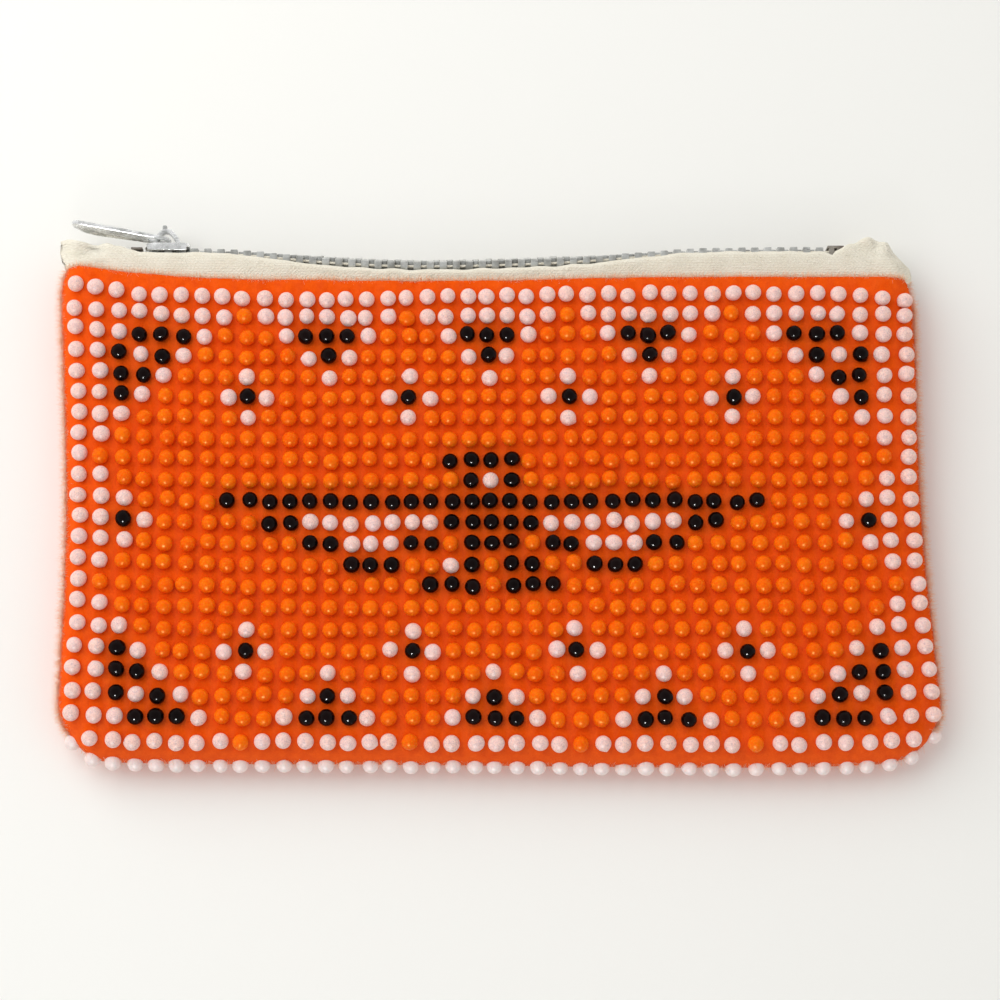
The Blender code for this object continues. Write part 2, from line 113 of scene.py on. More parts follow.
# The face is dimpled at the beads, creased between them and softly lumpy
DIMPLE_DEPTH = 0.42 * MM
DIMPLE_WIDTH = 1.15 * MM
CREASE_DEPTH = 0.10 * MM
LUMP_DEPTH = 0.10 * MM
BACK_LUMP_DEPTH = 0.12 * MM
# Steps of the meshes: from one bead's middle to the next, and along and across the back
CELL_STEPS = 6
BACK_STEPS = (132, 76)

# How the panel lies: the grid is drawn in or swells a little, in millimetres along X and
# along Y, for each product of powers of the two shares of the half-span
BEND_X = {(0, 0): -0.49, (0, 1): -0.35, (1, 0): -3.13, (1, 1): -0.83, (1, 2): 1.89, (2, 0): 0.95,
          (2, 1): -0.37, (3, 0): 2.11, (5, 1): 0.65, (9, 4): -0.75}
BEND_Y = {(0, 1): -0.30, (0, 2): -0.38, (0, 3): 0.79, (1, 3): 1.24, (2, 0): -0.21, (3, 0): -0.65,
          (3, 3): -1.39, (6, 0): 1.05}
BEND_LIMIT = 1.06
# The mouth sags in the middle and rises at the left, and its right corner droops. The foot's
# right corner is lifted, and the left edge spreads.
MOUTH_SAG = 0.55 * MM
MOUTH_LIFT = 0.6 * MM
MOUTH_CORNER_DROP = 1.4 * MM
FOOT_CORNER_LIFT = 0.9 * MM
LEFT_SPREAD = 0.6 * MM

# Cotton tapes
TAPE = 0.4 * MM
TAPE_BEND = 0.55 * MM
TAPE_DEPTH = 7.0 * MM
TAPE_SEAT = 0.3 * MM
TAPE_WAVE = 0.10 * MM
TAPE_STEP = 0.5 * MM
# One tape laid out flat, with its folded ends
# The tape's ends are folded over, crumpled and creased, and lean outwards
EAR_GAP = 0.3 * MM
EAR_START = 1.2 * MM
EAR_LENGTH = 3.5 * MM
EAR_CRUMPLE = 0.55 * MM
EAR_CREASE = 0.30 * MM
EAR_LEAN_REACH = 6 * MM
EAR_FLARE = 2.5 * MM
RIGHT_EAR_FLARE = 1.3 * MM
# Tops of the folded tape ends, in millimetres: x from the frame's middle, and the height over
# the chain's middle line
LEFT_EAR_TOP = [(-66, 1.6), (-64.2, 2.0), (-62.3, 1.7), (-60.3, 1.2), (-57.5, 0.8), (-54.5, 0.1)]
RIGHT_EAR_TOP = [(53, 0), (54.5, 0.9), (57, 1.3), (58.6, 1.8), (59.8, 1.8), (61.9, 0.4),
                 (63.4, -1.5), (64.2, -3)]

# Zip chain
TOOTH_PITCH = 2.02 * MM
TOOTH_ROOT = 1.15 * MM
TOOTH_TIP = 0.8 * MM
TOOTH_LAP = 0.5 * MM
TOOTH_HEIGHT = 1.5 * MM
TOOTH_BEVEL = 0.14 * MM
CHAIN_WIDTH = 3.4 * MM
# The teeth are clamped on a cord, which is squeezed to the thickness that is seen
CORD = 0.8 * MM
CORD_SEEN = 0.42 * MM
CORD_OFFSET = CHAIN_WIDTH / 2 - CORD / 2
FIRST_TOOTH = SLIDER_NOSE + 3.7 * MM
LAST_TOOTH = BOTTOM_STOP_X - 1.9 * MM
# The chain sags between the slider's two ends of travel, and rolls forward there
SAG_DEPTH = 1.6 * MM
SAG_MIDDLE = -10 * MM
SAG_LEFT = -45 * MM
SAG_RIGHT = 43 * MM
ROLL = radians(24)
BARE_FROM = (-46 * MM, -24 * MM)
BARE_TO = (10 * MM, 34 * MM)
# How far the tape's edge lies below the chain: everywhere, at the bare teeth and at the stop
TAPE_DROP = 0.35 * MM
BARE_DROP = 1.2 * MM
STOP_DROP = 0.7 * MM
STOP_NOTCH = 1.7 * MM

# Slider, seen from its nose at the middle of the chain
SLIDER_LENGTH = 7.0 * MM
SLIDER_HALF = 2.4 * MM
SLIDER_WALL = 0.6 * MM
SLIDER_ROOM = 0.9 * MM
SLIDER_FLANGE = 0.55 * MM
SLIDER_LAP = 0.45 * MM
FLANGE_INSET = 0.5 * MM
TAPE_SLOT = 0.6 * MM
WEDGE_LENGTH = 2.8 * MM
WEDGE_WIDTH = 1.3 * MM
# Half the plan of a slider plate, from nose to tail, in millimetres: broad shoulders at the
# nose and a narrower tail
SLIDER_PLAN = [(0.0, 0.9), (0.15, 1.5), (0.55, 2.05), (1.3, 2.38), (2.4, 2.4), (5.0, 2.36),
               (6.2, 2.25), (6.75, 1.9), (7.0, 1.3)]

# Arch and pull
PIVOT = Vector(next(j["pos_m"] for j in frame["joints"] if j["name"] == "pull_swing"))
ARCH_WALL = 0.72 * MM
ARCH_WIDTH = 1.4 * MM
ARCH_SQUARENESS = 0.55
ARCH_RINGS = 33
ARCH_AROUND = 16
# The arch's middle line in millimetres from the pivot's x and the chain's y
ARCH_LINE = [(-2.0, 1.1), (-2.0, 1.9), (-1.75, 2.8), (-1.2, 3.7), (-0.45, 4.2), (0.3, 3.95),
             (1.05, 3.1), (1.6, 2.2), (1.95, 1.1)]
PULL_LENGTH = 15.6 * MM
PULL_THICKNESS = 0.6 * MM
PULL_BAR = 0.9 * MM
PULL_NECK = 3.2 * MM
PULL_WIDTH = 4.4 * MM
PULL_WINDOW = 2.7 * MM
PULL_RAIL = 0.95 * MM
PULL_EDGE = 0.14 * MM
PULL_SINK = 0.17 * MM
PULL_ANGLE = radians(10)

# Stops at the chain's ends
CLAMP_CLEARANCE = 0.15 * MM
STOP_WALL = 0.4 * MM
STOP_PROUD = 0.1 * MM

# Loose fibres
SIDE_FIBRES = 5200
MOUTH_FIBRES = 10500
FOOT_FIBRES = 1500
COTTON_FIBRES = 9000
FELT_FIBRE_RADIUS = 0.021 * MM
COTTON_FIBRE_RADIUS = 0.013 * MM
FIBRE_BEND = 0.28
FIBRE_TIP = 0.25

SEED = 23


def smooth(share):
    """A share held between 0 and 1, with soft ends."""
    share = np.clip(share, 0.0, 1.0)
    return share * share * (3 - 2 * share)


# Bead pattern: W is white, B is black and a dot is orange

# The bird's rows, from its middle column outwards, and the beads where its sides differ
BIRD_HALF = {
    2: "W",
    1: "BBBBBBBBBBBBBB",
    0: "BBBWWWWWWWBB",
    -1: "BB.BBWWWBB",
    -2: ".BB..BBB",
    -3: ".BBB",
}
BIRD_ODD = {
    (-2, 3): "B",
    (-1, 3): "B",
    (0, 3): "B",
    (1, 3): "B",
    (-1, 2): "B",
    (1, 2): "B",
    (-2, -2): "W",
}
# The zigzag runs round the edge this deep, with its outer rows white
ZIGZAG = 4
ZIGZAG_EDGE = 2
CROSS_COLUMNS = (4, 12)
CROSS_ROW = 6


def bead_letter(column, row):
    """B, W or a dot: the colour of the bead at a column and a row counted from the middle."""
    if (column, row) in BIRD_ODD:
        return BIRD_ODD[column, row]
    half = BIRD_HALF.get(row, "")
    if abs(column) < len(half):
        return half[abs(column)]
    from_top = (BEAD_ROWS - 1) // 2 - abs(row)
    from_side = (BEAD_COLUMNS - 1) // 2 - abs(column)
    period = 2 * ZIGZAG
    from_peak = min(abs(column) % period, period - abs(column) % period)
    side_peak = min(abs(row) + 1, abs(abs(row) - (period - 1)))
    for depth, off_peak in ((from_top, from_peak), (from_side, side_peak)):
        if depth + off_peak == ZIGZAG:
            return "W"
        if depth + off_peak < ZIGZAG:
            return "W" if depth < ZIGZAG_EDGE else "B"
    for cross in CROSS_COLUMNS:
        steps = abs(abs(column) - cross) + abs(abs(row) - CROSS_ROW)
        if steps < 2:
            return "BW"[steps]
    return "."


# The felt's surface, as functions of its flat layout


def rise(value, start, end):
    """0 up to the start and 1 from the end on, with a straight climb between them."""
    return np.clip((value - start) / (end - start), 0, 1)


def corner_moved(x, y, power):
    """The layout with its lower corners rounded at power 1, and squared again at power -1."""
    over_x = np.abs(x) - (HALF_WIDTH - CORNER_RADIUS)
    over_y = FOOT_Y + CORNER_RADIUS - y
    inside = (over_x > 0) & (over_y > 0)
    length = np.maximum(np.hypot(over_x, over_y), 1e-9)
    share = np.where(inside, np.maximum(over_x, over_y) / length, 1.0) ** power
    new_x = np.where(inside, np.sign(x) * (HALF_WIDTH - CORNER_RADIUS + over_x * share), x)
    return new_x, np.where(inside, FOOT_Y + CORNER_RADIUS - over_y * share, y)


def rounded(x, y):
    """The layout with its lower corners rounded and its upper ones tucked in."""
    new_x, new_y = corner_moved(x, y, 1)
    near_mouth = np.clip((y - MOUTH_Y + MOUTH_ROUND) / MOUTH_ROUND, 0, 1) ** 2
    near_side = smooth((np.abs(x) - HALF_WIDTH + MOUTH_TUCK_REACH) / MOUTH_TUCK_REACH)
    return new_x - np.sign(x) * MOUTH_TUCK * near_mouth * near_side, new_y


def bent(x, y):
    """Where a point of the layout lies, seen from above."""
    x, y = rounded(x, y)
    u = np.clip(x / SPAN_X, -1.0, BEND_LIMIT)
    v = np.clip(y / SPAN_Y, -BEND_LIMIT, BEND_LIMIT)
    dx = sum(size * u**a * v**b for (a, b), size in BEND_X.items()) * MM
    dy = sum(size * u**a * v**b for (a, b), size in BEND_Y.items()) * MM
    at_edge = rise(v, 1.0, 1.06)
    corner = rise(u, 0.84, 1.0) * (1 - at_edge)
    drop = rise(v, 0.8, 1.0) ** 1.5 * (MOUTH_SAG * (1 - u**2) + MOUTH_CORNER_DROP * corner)
    lift = MOUTH_LIFT * at_edge * (1 - smooth((u + 0.5) / 0.6))
    lift += FOOT_CORNER_LIFT * rise(u, 0.88, 1.02) * rise(-v, 0.8, 1.0)
    spread = LEFT_SPREAD * rise(-x / SPAN_X, 1.0, 1.035)
    return x + dx - spread, y + dy - drop + lift


def whole_depth(y):
    """Depth of the closed purse, from its back to its front."""
    share = (y - FOOT_Y) / (MOUTH_Y - FOOT_Y)
    return FOOT_DEPTH + (MOUTH_DEPTH - FOOT_DEPTH) * share


def turned(depth, reach, drop):
    """How far a turned edge has fallen at a depth inside its outline."""
    share = np.clip(1 - depth / reach, 0.0, 1.0)
    return drop * (1 - (1 - share**TURN_POWER) ** (1 / TURN_POWER))


def face_height(side, inset, x, y):
    """Height of a felt face: side is 1 for the front and -1 for the back."""
    depth = np.minimum(HALF_WIDTH - inset - np.abs(x), y - FOOT_Y - inset)
    whole = whole_depth(y)
    flat = whole - inset
    seam = whole / 2 + SEAM_GAP / 2
    height = flat - turned(depth, TURN_REACH - inset, flat - seam)
    return height if side > 0 else whole - height


def face_point(side, inset, x, y):
    """The place of a layout point on a felt face."""
    return np.stack([*bent(x, y), face_height(side, inset, x, y)], -1)


def face_axes(x, y):
    """Unit vectors east, north and outward on the front's outer face."""
    step = 0.05 * MM
    east = face_point(1, 0, x + step, y) - face_point(1, 0, x - step, y)
    north = face_point(1, 0, x, y + step) - face_point(1, 0, x, y - step)
    out = np.cross(east, north)
    out /= np.linalg.norm(out, axis=-1, keepdims=True)
    east /= np.linalg.norm(east, axis=-1, keepdims=True)
    return east, np.cross(out, east), out


def waves(x, y, size, seed):
    """Smooth noise from a few seeded sines, about -1 to 1, with features of one size."""
    rng = np.random.default_rng(seed)
    total = np.zeros_like(x)
    for _ in range(9):
        turn = rng.uniform(0, tau)
        rate = tau / (size * rng.uniform(0.7, 1.6))
        total += np.sin(rate * (x * cos(turn) + y * sin(turn)) + rng.uniform(0, tau))
    return total / 3


# Mesh helpers


def mesh_piece(name, node, points, faces, finish, body="purse", shade=None, uv=None):
    """A smooth-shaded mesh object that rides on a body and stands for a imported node."""
    data = bpy.data.meshes.new(name)
    data.from_pydata([tuple(p) for p in points], [], faces)
    if shade is not None:
        layer = data.attributes.new("shade", "FLOAT", "POINT")
        layer.data.foreach_set("value", np.asarray(shade, np.float32))
    if uv is not None:
        layer = data.uv_layers.new(name="along")
        corners = np.empty(len(data.loops), np.int32)
        data.loops.foreach_get("vertex_index", corners)
        layer.data.foreach_set("uv", np.asarray(uv, np.float32)[corners].ravel())
    data.materials.append(finish)
    data.shade_smooth()
    data.update()
    made = bpy.data.objects.new(name, data)
    bpy.context.scene.collection.objects.link(made)
    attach(made, body)
    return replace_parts(made, node)


def outward(points, faces):
    """The faces, turned round if the closed mesh is inside out."""
    points = np.asarray(points)
    volume = 0.0
    for face in faces:
        a = points[face[0]]
        for k in range(1, len(face) - 1):
            volume += np.dot(a, np.cross(points[face[k]], points[face[k + 1]]))
    return faces if volume > 0 else [face[::-1] for face in faces]


def grid_faces(rows, columns, start=0, wrap=False):
    """Quads over a grid of points stored row by row. wrap joins the last column to the first."""
    across = columns if wrap else columns - 1
    made = []
    for i in range(rows - 1):
        here = start + i * columns
        for j in range(across):
            k = (j + 1) % columns
            made.append((here + j, here + k, here + columns + k, here + columns + j))
    return made


# Materials


def new_material(name):
    """A new material: itself, its nodes, its shader and its place in the object's space."""
    made = bpy.data.materials.new(name)
    made.use_nodes = True
    tree = made.node_tree
    shader = tree.nodes["Principled BSDF"]
    place = tree.nodes.new("ShaderNodeTexCoord")
    return made, tree, shader, place.outputs["Object"]


def noise(tree, place, scale, detail=3.0, roughness=0.6, stretch=None):
    """A noise texture in object space; scale is in features a metre."""
    if stretch is not None:
        turn = tree.nodes.new("ShaderNodeMapping")
        turn.inputs["Scale"].default_value = stretch
        tree.links.new(place, turn.inputs["Vector"])
        place = turn.outputs["Vector"]
    made = tree.nodes.new("ShaderNodeTexNoise")
    made.inputs["Scale"].default_value = scale
    made.inputs["Detail"].default_value = detail
    made.inputs["Roughness"].default_value = roughness
    tree.links.new(place, made.inputs["Vector"])
    return made.outputs["Fac"]


def ramp(tree, value, stops):
    """A colour ramp from (place, colour) pairs."""
    made = tree.nodes.new("ShaderNodeValToRGB")
    elements = made.color_ramp.elements
    while len(elements) < len(stops):
        elements.new(0.5)
    for element, (place, colour) in zip(elements, stops):
        element.position = place
        element.color = (*colour, 1.0)
    tree.links.new(value, made.inputs["Fac"])
    return made.outputs["Color"]


def mix(tree, share, one, other):
    """One colour mixed with another; each input is a number, a colour or a socket."""
    made = tree.nodes.new("ShaderNodeMix")
    made.data_type = "RGBA"
    for index, value in ((0, share), (6, one), (7, other)):
        if isinstance(value, bpy.types.NodeSocket):
            tree.links.new(value, made.inputs[index])
        elif index == 0:
            made.inputs[0].default_value = value
        else:
            made.inputs[index].default_value = (*value, 1.0)
    return made.outputs[2]


def maths(tree, operation, one, other):
    """A sum on sockets; either input is a number or a socket."""
    made = tree.nodes.new("ShaderNodeMath")
    made.operation = operation
    for index, value in enumerate((one, other)):
        if isinstance(value, bpy.types.NodeSocket):
            tree.links.new(value, made.inputs[index])
        else:
            made.inputs[index].default_value = value
    return made.outputs[0]


def remap(tree, value, low, high, new_low, new_high):
    """A value's range moved to a new one, and held inside it."""
    made = tree.nodes.new("ShaderNodeMapRange")
    made.inputs["From Min"].default_value = low
    made.inputs["From Max"].default_value = high
    made.inputs["To Min"].default_value = new_low
    made.inputs["To Max"].default_value = new_high
    tree.links.new(value, made.inputs["Value"])
    return made.outputs["Result"]


def bump(tree, shader, heights):
    """Bumps on the shader: heights holds (socket, distance in metres, strength)."""
    before = None
    for height, distance, strength in heights:
        made = tree.nodes.new("ShaderNodeBump")
        made.inputs["Distance"].default_value = distance
        made.inputs["Strength"].default_value = strength
        tree.links.new(height, made.inputs["Height"])
        if before is not None:
            tree.links.new(before, made.inputs["Normal"])
        before = made.outputs["Normal"]
    tree.links.new(before, shader.inputs["Normal"])


def shade_of(tree):
    """The mesh's own shade, from 0 to 1: one value for each bead or fibre."""
    made = tree.nodes.new("ShaderNodeAttribute")
    made.attribute_name = "shade"
    return made.outputs["Fac"]


def finish_shader(tree, shader, colour, values):
    """The shader with its colour socket and its uniform values, by the names of its inputs."""
    tree.links.new(colour, shader.inputs["Base Color"])
    for name, value in values.items():
        shader.inputs[name].default_value = value


def felt_material():
    """Pressed felt: matted fibres, small clumps and a soft sheen."""
    made, tree, shader, place = new_material("orange_felt")
    clumps = noise(tree, place, 700.0, 4.0, 0.65)
    fibres = noise(tree, place, 5200.0, 2.0, 0.7)
    strands = noise(tree, place, 2600.0, 3.0, 0.7, (1.0, 0.35, 1.0))
    ground = ramp(tree, clumps, [(0.3, (0.77, 0.068, 0.001)), (0.7, (0.88, 0.102, 0.003))])
    flecked = mix(tree, remap(tree, fibres, 0.5, 0.75, 0.0, 0.3), ground, (0.95, 0.19, 0.02))
    finish_shader(tree, shader, flecked, {
        "Roughness": 0.95,
        "Specular IOR Level": 0.08,
        "Sheen Weight": 0.08,
        "Sheen Roughness": 0.6,
        "Sheen Tint": (1.0, 0.40, 0.08, 1.0),
    })
    heights = [(clumps, 0.25 * MM, 0.5), (strands, 0.10 * MM, 0.6), (fibres, 0.05 * MM, 0.7)]
    bump(tree, shader, heights)
    return made


def fuzz_material(name, colour, pale_glow):
    """Loose fibres standing off a cloth, each with its own mix of a colour and a paler one. The paler
    tone is partly painted light: the glow of light through thin fibres.
    """
    made, tree, shader, place = new_material(name)
    tint = mix(tree, shade_of(tree), colour, pale_glow)
    finish_shader(tree, shader, tint, {"Roughness": 0.9, "Specular IOR Level": 0.2})
    return made


def white_bead_material():
    """Moulded plastic with a fine pearly speckle. Its pink and warm tones are partly its own and partly
    painted orange light bounced from the felt, and the beads on the foot's edge, off the felt, are
    painted whiter for the bounce they lack.
    """
    made, tree, shader, place = new_material("white_bead")
    speckle = noise(tree, place, 4200.0, 2.0, 0.8)
    cloud = noise(tree, place, 1300.0, 2.0, 0.5)
    shade = shade_of(tree)
    # The pink and warm tones: the bead's own speckle and cloud, with painted orange bounce light from
    # the felt
    pearl_and_bounce = ramp(tree, speckle, [(0.34, (0.58, 0.39, 0.39)), (0.60, (0.92, 0.64, 0.56))])
    warm_and_bounce = mix(tree, remap(tree, cloud, 0.4, 0.7, 0.0, 0.5), pearl_and_bounce, (0.95, 0.61, 0.49))
    cooler = mix(tree, remap(tree, shade, 0.0, 0.8, 0.0, 0.3), warm_and_bounce, (0.82, 0.61, 0.62))
    # Painted light: the foot's edge beads (shade 1) are made whiter and less pink, for the felt's orange
    # bounce they lack
    edge_unbounced = mix(tree, remap(tree, shade, 0.85, 1.0, 0.0, 0.6), cooler, (0.86, 0.81, 0.79))
    finish_shader(tree, shader, edge_unbounced, {
        "Roughness": 0.42,
        "Specular IOR Level": 0.2,
        "Sheen Weight": 0.30,
        "Sheen Roughness": 0.35,
        "Sheen Tint": (1.0, 0.72, 0.60, 1.0),
        "Subsurface Weight": 0.25,
        "Subsurface Radius": (0.9, 0.45, 0.35),
        "Subsurface Scale": 0.6 * MM,
    })
    bump(tree, shader, [(speckle, 0.05 * MM, 0.5)])
    return made


def orange_bead_material():
    """Slightly clear orange plastic, lighter than the felt, with pale flecks."""
    made, tree, shader, place = new_material("orange_bead")
    speckle = noise(tree, place, 3600.0, 2.0, 0.75)
    ground = mix(tree, shade_of(tree), (0.81, 0.113, 0.002), (0.87, 0.160, 0.003))
    flecked = mix(tree, remap(tree, speckle, 0.52, 0.74, 0.0, 0.5), ground, (0.95, 0.34, 0.015))
    finish_shader(tree, shader, flecked, {
        "Roughness": 0.30,
        "Specular IOR Level": 0.18,
        "Specular Tint": (1.0, 0.65, 0.20, 1.0),
        "Subsurface Weight": 0.6,
        "Subsurface Radius": (1.0, 0.40, 0.05),
        "Subsurface Scale": 1.2 * MM,
    })
    bump(tree, shader, [(speckle, 0.06 * MM, 0.6)])
    return made


def black_bead_material():
    """Glossy black plastic, a little uneven."""
    made, tree, shader, place = new_material("black_bead")
    uneven = noise(tree, place, 900.0, 2.0, 0.5)
    grain = noise(tree, place, 5200.0, 1.0, 0.5)
    tint = mix(tree, shade_of(tree), (0.003, 0.001, 0.001), (0.007, 0.002, 0.002))
    finish_shader(tree, shader, tint, {"Specular IOR Level": 0.09})
    rough = remap(tree, grain, 0.35, 0.7, 0.10, 0.20)
    tree.links.new(rough, shader.inputs["Roughness"])
    bump(tree, shader, [(uneven, 0.08 * MM, 0.35), (grain, 0.015 * MM, 0.3)])
    return made


def cotton_material():
    """Woven zip tape: herringbone bands of fine slanted yarn, both sized in millimetres, with painted
    shade in the grooves between the yarns.
    """
    made, tree, shader, place = new_material("cotton_tape")
    along = tree.nodes.new("ShaderNodeUVMap")
    along.uv_map = "along"
    split = tree.nodes.new("ShaderNodeSeparateXYZ")
    tree.links.new(along.outputs["UV"], split.inputs["Vector"])
    band, yarn = 2.4, 0.62
    folded = maths(tree, "PINGPONG", split.outputs["Y"], band)
    slanted = maths(tree, "ADD", split.outputs["X"], folded)
    ridges = maths(tree, "PINGPONG", slanted, yarn / 2)
    ridges = maths(tree, "DIVIDE", ridges, yarn / 2)
    threads = maths(tree, "PINGPONG", split.outputs["Y"], yarn / 3)
    threads = maths(tree, "DIVIDE", threads, yarn / 3)
    weave = maths(tree, "MULTIPLY", ridges, threads)
    cloud = noise(tree, place, 260.0, 3.0, 0.6)
    lint = noise(tree, place, 4200.0, 2.0, 0.7)
    ground = ramp(tree, cloud, [(0.3, (0.80, 0.745, 0.61)), (0.7, (0.86, 0.82, 0.70))])
    # Painted shade: a darker colour in the grooves between the yarns
    groove_shaded = mix(tree, remap(tree, weave, 0.0, 0.6, 0.45, 0.0), ground, (0.70, 0.65, 0.54))
    linted = mix(tree, remap(tree, lint, 0.5, 0.75, 0.0, 0.4), groove_shaded, (0.93, 0.90, 0.83))
    values = {"Roughness": 0.92, "Specular IOR Level": 0.2, "Sheen Weight": 0.15}
    finish_shader(tree, shader, linted, values)
    bump(tree, shader, [(weave, 0.12 * MM, 0.8), (lint, 0.06 * MM, 0.5)])
    return made


def metal_material(name, bright, dull, low_rough, high_rough):
    """Plated metal with fine scratches and a little tarnish."""
    made, tree, shader, place = new_material(name)
    tarnish = noise(tree, place, 420.0, 4.0, 0.65)
    scratches = noise(tree, place, 2600.0, 2.0, 0.6, (0.12, 1.0, 1.0))
    colour = ramp(tree, tarnish, [(0.35, dull), (0.6, bright)])
    finish_shader(tree, shader, colour, {"Metallic": 0.7})
    tree.links.new(remap(tree, scratches, 0.3, 0.7, low_rough, high_rough), shader.inputs["Roughness"])
    bump(tree, shader, [(scratches, 0.02 * MM, 0.5), (tarnish, 0.05 * MM, 0.25)])
    return made


# Felt panels


def layout_lines(cell_lines, edge_low, edge_high, per_cell):
    """Values from one edge to the other: even steps in each cell between bead middles, and
    closer steps at the turned edges."""
    fine = []
    for low, high in zip(cell_lines, cell_lines[1:]):
        fine.extend(low + (high - low) * k / per_cell for k in range(per_cell))
    fine.append(cell_lines[-1])
    ends = [0.0, 0.06, 0.2, 0.42, 0.7]
    head = [edge_low + (fine[0] - edge_low) * e for e in ends]
    tail = [edge_high + (fine[-1] - edge_high) * e for e in reversed(ends)]
    return np.array(head + fine + tail)


def felt_detail(x, y):
    """Height added to the front's face: dimples at the beads, faint creases between them
    and soft lumps."""
    plain_x, plain_y = rounded(x, y)
    column = plain_x / COLUMN_PITCH
    row = plain_y / ROW_PITCH
    near_x = (column - np.round(column)) * COLUMN_PITCH
    near_y = (row - np.round(row)) * ROW_PITCH
    on_grid = (np.abs(column) < BEAD_COLUMNS / 2) & (np.abs(row) < BEAD_ROWS / 2)
    dimple = -DIMPLE_DEPTH * np.exp(-(near_x**2 + near_y**2) / DIMPLE_WIDTH**2)
    from_line = np.minimum(COLUMN_PITCH / 2 - np.abs(near_x), ROW_PITCH / 2 - np.abs(near_y))
    crease = -CREASE_DEPTH * np.exp(-((from_line / (0.25 * MM)) ** 2))
    lumps = LUMP_DEPTH * waves(x, y, 7 * MM, SEED)
    lumps += 0.4 * LUMP_DEPTH * waves(x, y, 1.6 * MM, SEED + 1)
    edge = np.minimum(HALF_WIDTH - np.abs(x), np.minimum(y - FOOT_Y, MOUTH_Y - y))
    return np.where(on_grid, dimple + crease, 0.0) * smooth(edge / (1.5 * MM)) + lumps


def grid_border(rows, columns):
    """The points round a grid that is stored row by row, in order."""
    border = list(range(columns))
    border += [i * columns + columns - 1 for i in range(1, rows)]
    border += [(rows - 1) * columns + j for j in range(columns - 2, -1, -1)]
    return border + [i * columns for i in range(rows - 2, 0, -1)]


def panel_shell(name, node, side, xs, ys, detail, inner_detail, finish):
    """A closed felt shell over a layout grid: an outer skin, an inner skin and their rim."""
    gx, gy = np.meshgrid(xs, ys)
    outer = face_point(side, 0.0, gx, gy)
    outer[..., 2] += detail(gx, gy)
    shrink_x = (HALF_WIDTH - FELT) / HALF_WIDTH
    shrink_y = (MOUTH_Y - FOOT_Y - FELT) / (MOUTH_Y - FOOT_Y)
    ix, iy = gx * shrink_x, MOUTH_Y - (MOUTH_Y - gy) * shrink_y
    inner = face_point(side, FELT, ix, iy)
    inner[..., 2] += inner_detail(ix, iy)
    rows, columns = gx.shape
    points = np.concatenate([outer.reshape(-1, 3), inner.reshape(-1, 3)])
    count = rows * columns
    top = grid_faces(rows, columns)
    faces = top + [tuple(reversed([k + count for k in face])) for face in top]
    border = grid_border(rows, columns)
    for k, here in enumerate(border):
        there = border[(k + 1) % len(border)]
        faces.append((there, here, here + count, there + count))
    if side < 0:
        faces = [face[::-1] for face in faces]
    return mesh_piece(name, node, points, faces, finish)


def no_detail(x, y):
    """Nothing added: the skin inside the front is smooth."""
    return 0.0 * x


def front_felt(finish):
    """The front panel, with lines of points through the middles of the beads."""
    columns = [(k - (BEAD_COLUMNS - 1) / 2) * COLUMN_PITCH for k in range(BEAD_COLUMNS)]
    rows = [(k - (BEAD_ROWS - 1) / 2) * ROW_PITCH for k in range(1, BEAD_ROWS)]
    xs = layout_lines(columns, -HALF_WIDTH, HALF_WIDTH, CELL_STEPS)
    ys = layout_lines(rows, FOOT_Y, MOUTH_Y, CELL_STEPS)
    return panel_shell("front_felt", "front_panel", 1, xs, ys, felt_detail, no_detail, finish)


def back_lumps(x, y):
    """Height of the back above its flat face: soft lumps that stay above the floor."""
    inside = np.minimum(HALF_WIDTH - np.abs(x), np.minimum(y - FOOT_Y, MOUTH_Y - y))
    height = (1.6 + waves(x, y, 11 * MM, SEED + 2)).clip(0)
    return BACK_LUMP_DEPTH * height * smooth(inside / (2 * MM))


def back_felt(finish):
    """The plain back panel, with closer lines of points at its sides."""
    steps_x, steps_y = BACK_STEPS
    xs = -HALF_WIDTH * np.cos(np.linspace(0, pi, steps_x))
    xs = 0.5 * xs + 0.5 * np.linspace(-HALF_WIDTH, HALF_WIDTH, steps_x)
    ys = np.linspace(FOOT_Y, MOUTH_Y, steps_y)
    return panel_shell("back_felt", "back_panel", -1, xs, ys, back_lumps, back_lumps, finish)


# Beads


def ball(around, along):
    """Points and faces of a unit ball with its poles on Z."""
    points = [(0.0, 0.0, -1.0)]
    for i in range(1, along):
        level = -cos(pi * i / along)
        ring = sin(pi * i / along)
        turns = [tau * j / around for j in range(around)]
        points.extend((ring * cos(turn), ring * sin(turn), level) for turn in turns)
    points.append((0.0, 0.0, 1.0))
    last = len(points) - 1
    faces = [(0, 1 + (j + 1) % around, 1 + j) for j in range(around)]
    faces += grid_faces(along - 1, around, start=1, wrap=True)
    start = last - around
    faces += [(start + j, start + (j + 1) % around, last) for j in range(around)]
    return np.array(points), faces


def random_turn(rng):
    """A random rotation matrix."""
    return np.array(Quaternion(rng.normal(size=4)).normalized().to_matrix())


def bead_places(letter):
    """The layout x, y and the seat of each bead of one letter. The foot row has no bead at
    its two ends, where its neighbours sit on the turned sides."""
    half_columns, half_rows = (BEAD_COLUMNS - 1) // 2, (BEAD_ROWS - 1) // 2
    for column in range(-half_columns, half_columns + 1):
        for row in range(-half_rows, half_rows + 1):
            at_foot, at_side = row == -half_rows, abs(column) == half_columns
            if (at_foot and at_side) or bead_letter(column, row) != letter:
                continue
            x, y = corner_moved(np.array(column * COLUMN_PITCH), np.array(row * ROW_PITCH), -1)
            seat = BEAD_SEAT
            if at_foot:
                y, seat = np.array(FOOT_Y + EDGE_BEAD_DEPTH), EDGE_BEAD_SEAT
            if row == 1 - half_rows and at_side:
                x, seat = np.sign(x) * (HALF_WIDTH - EDGE_BEAD_DEPTH), EDGE_BEAD_SEAT
            yield x, y, seat


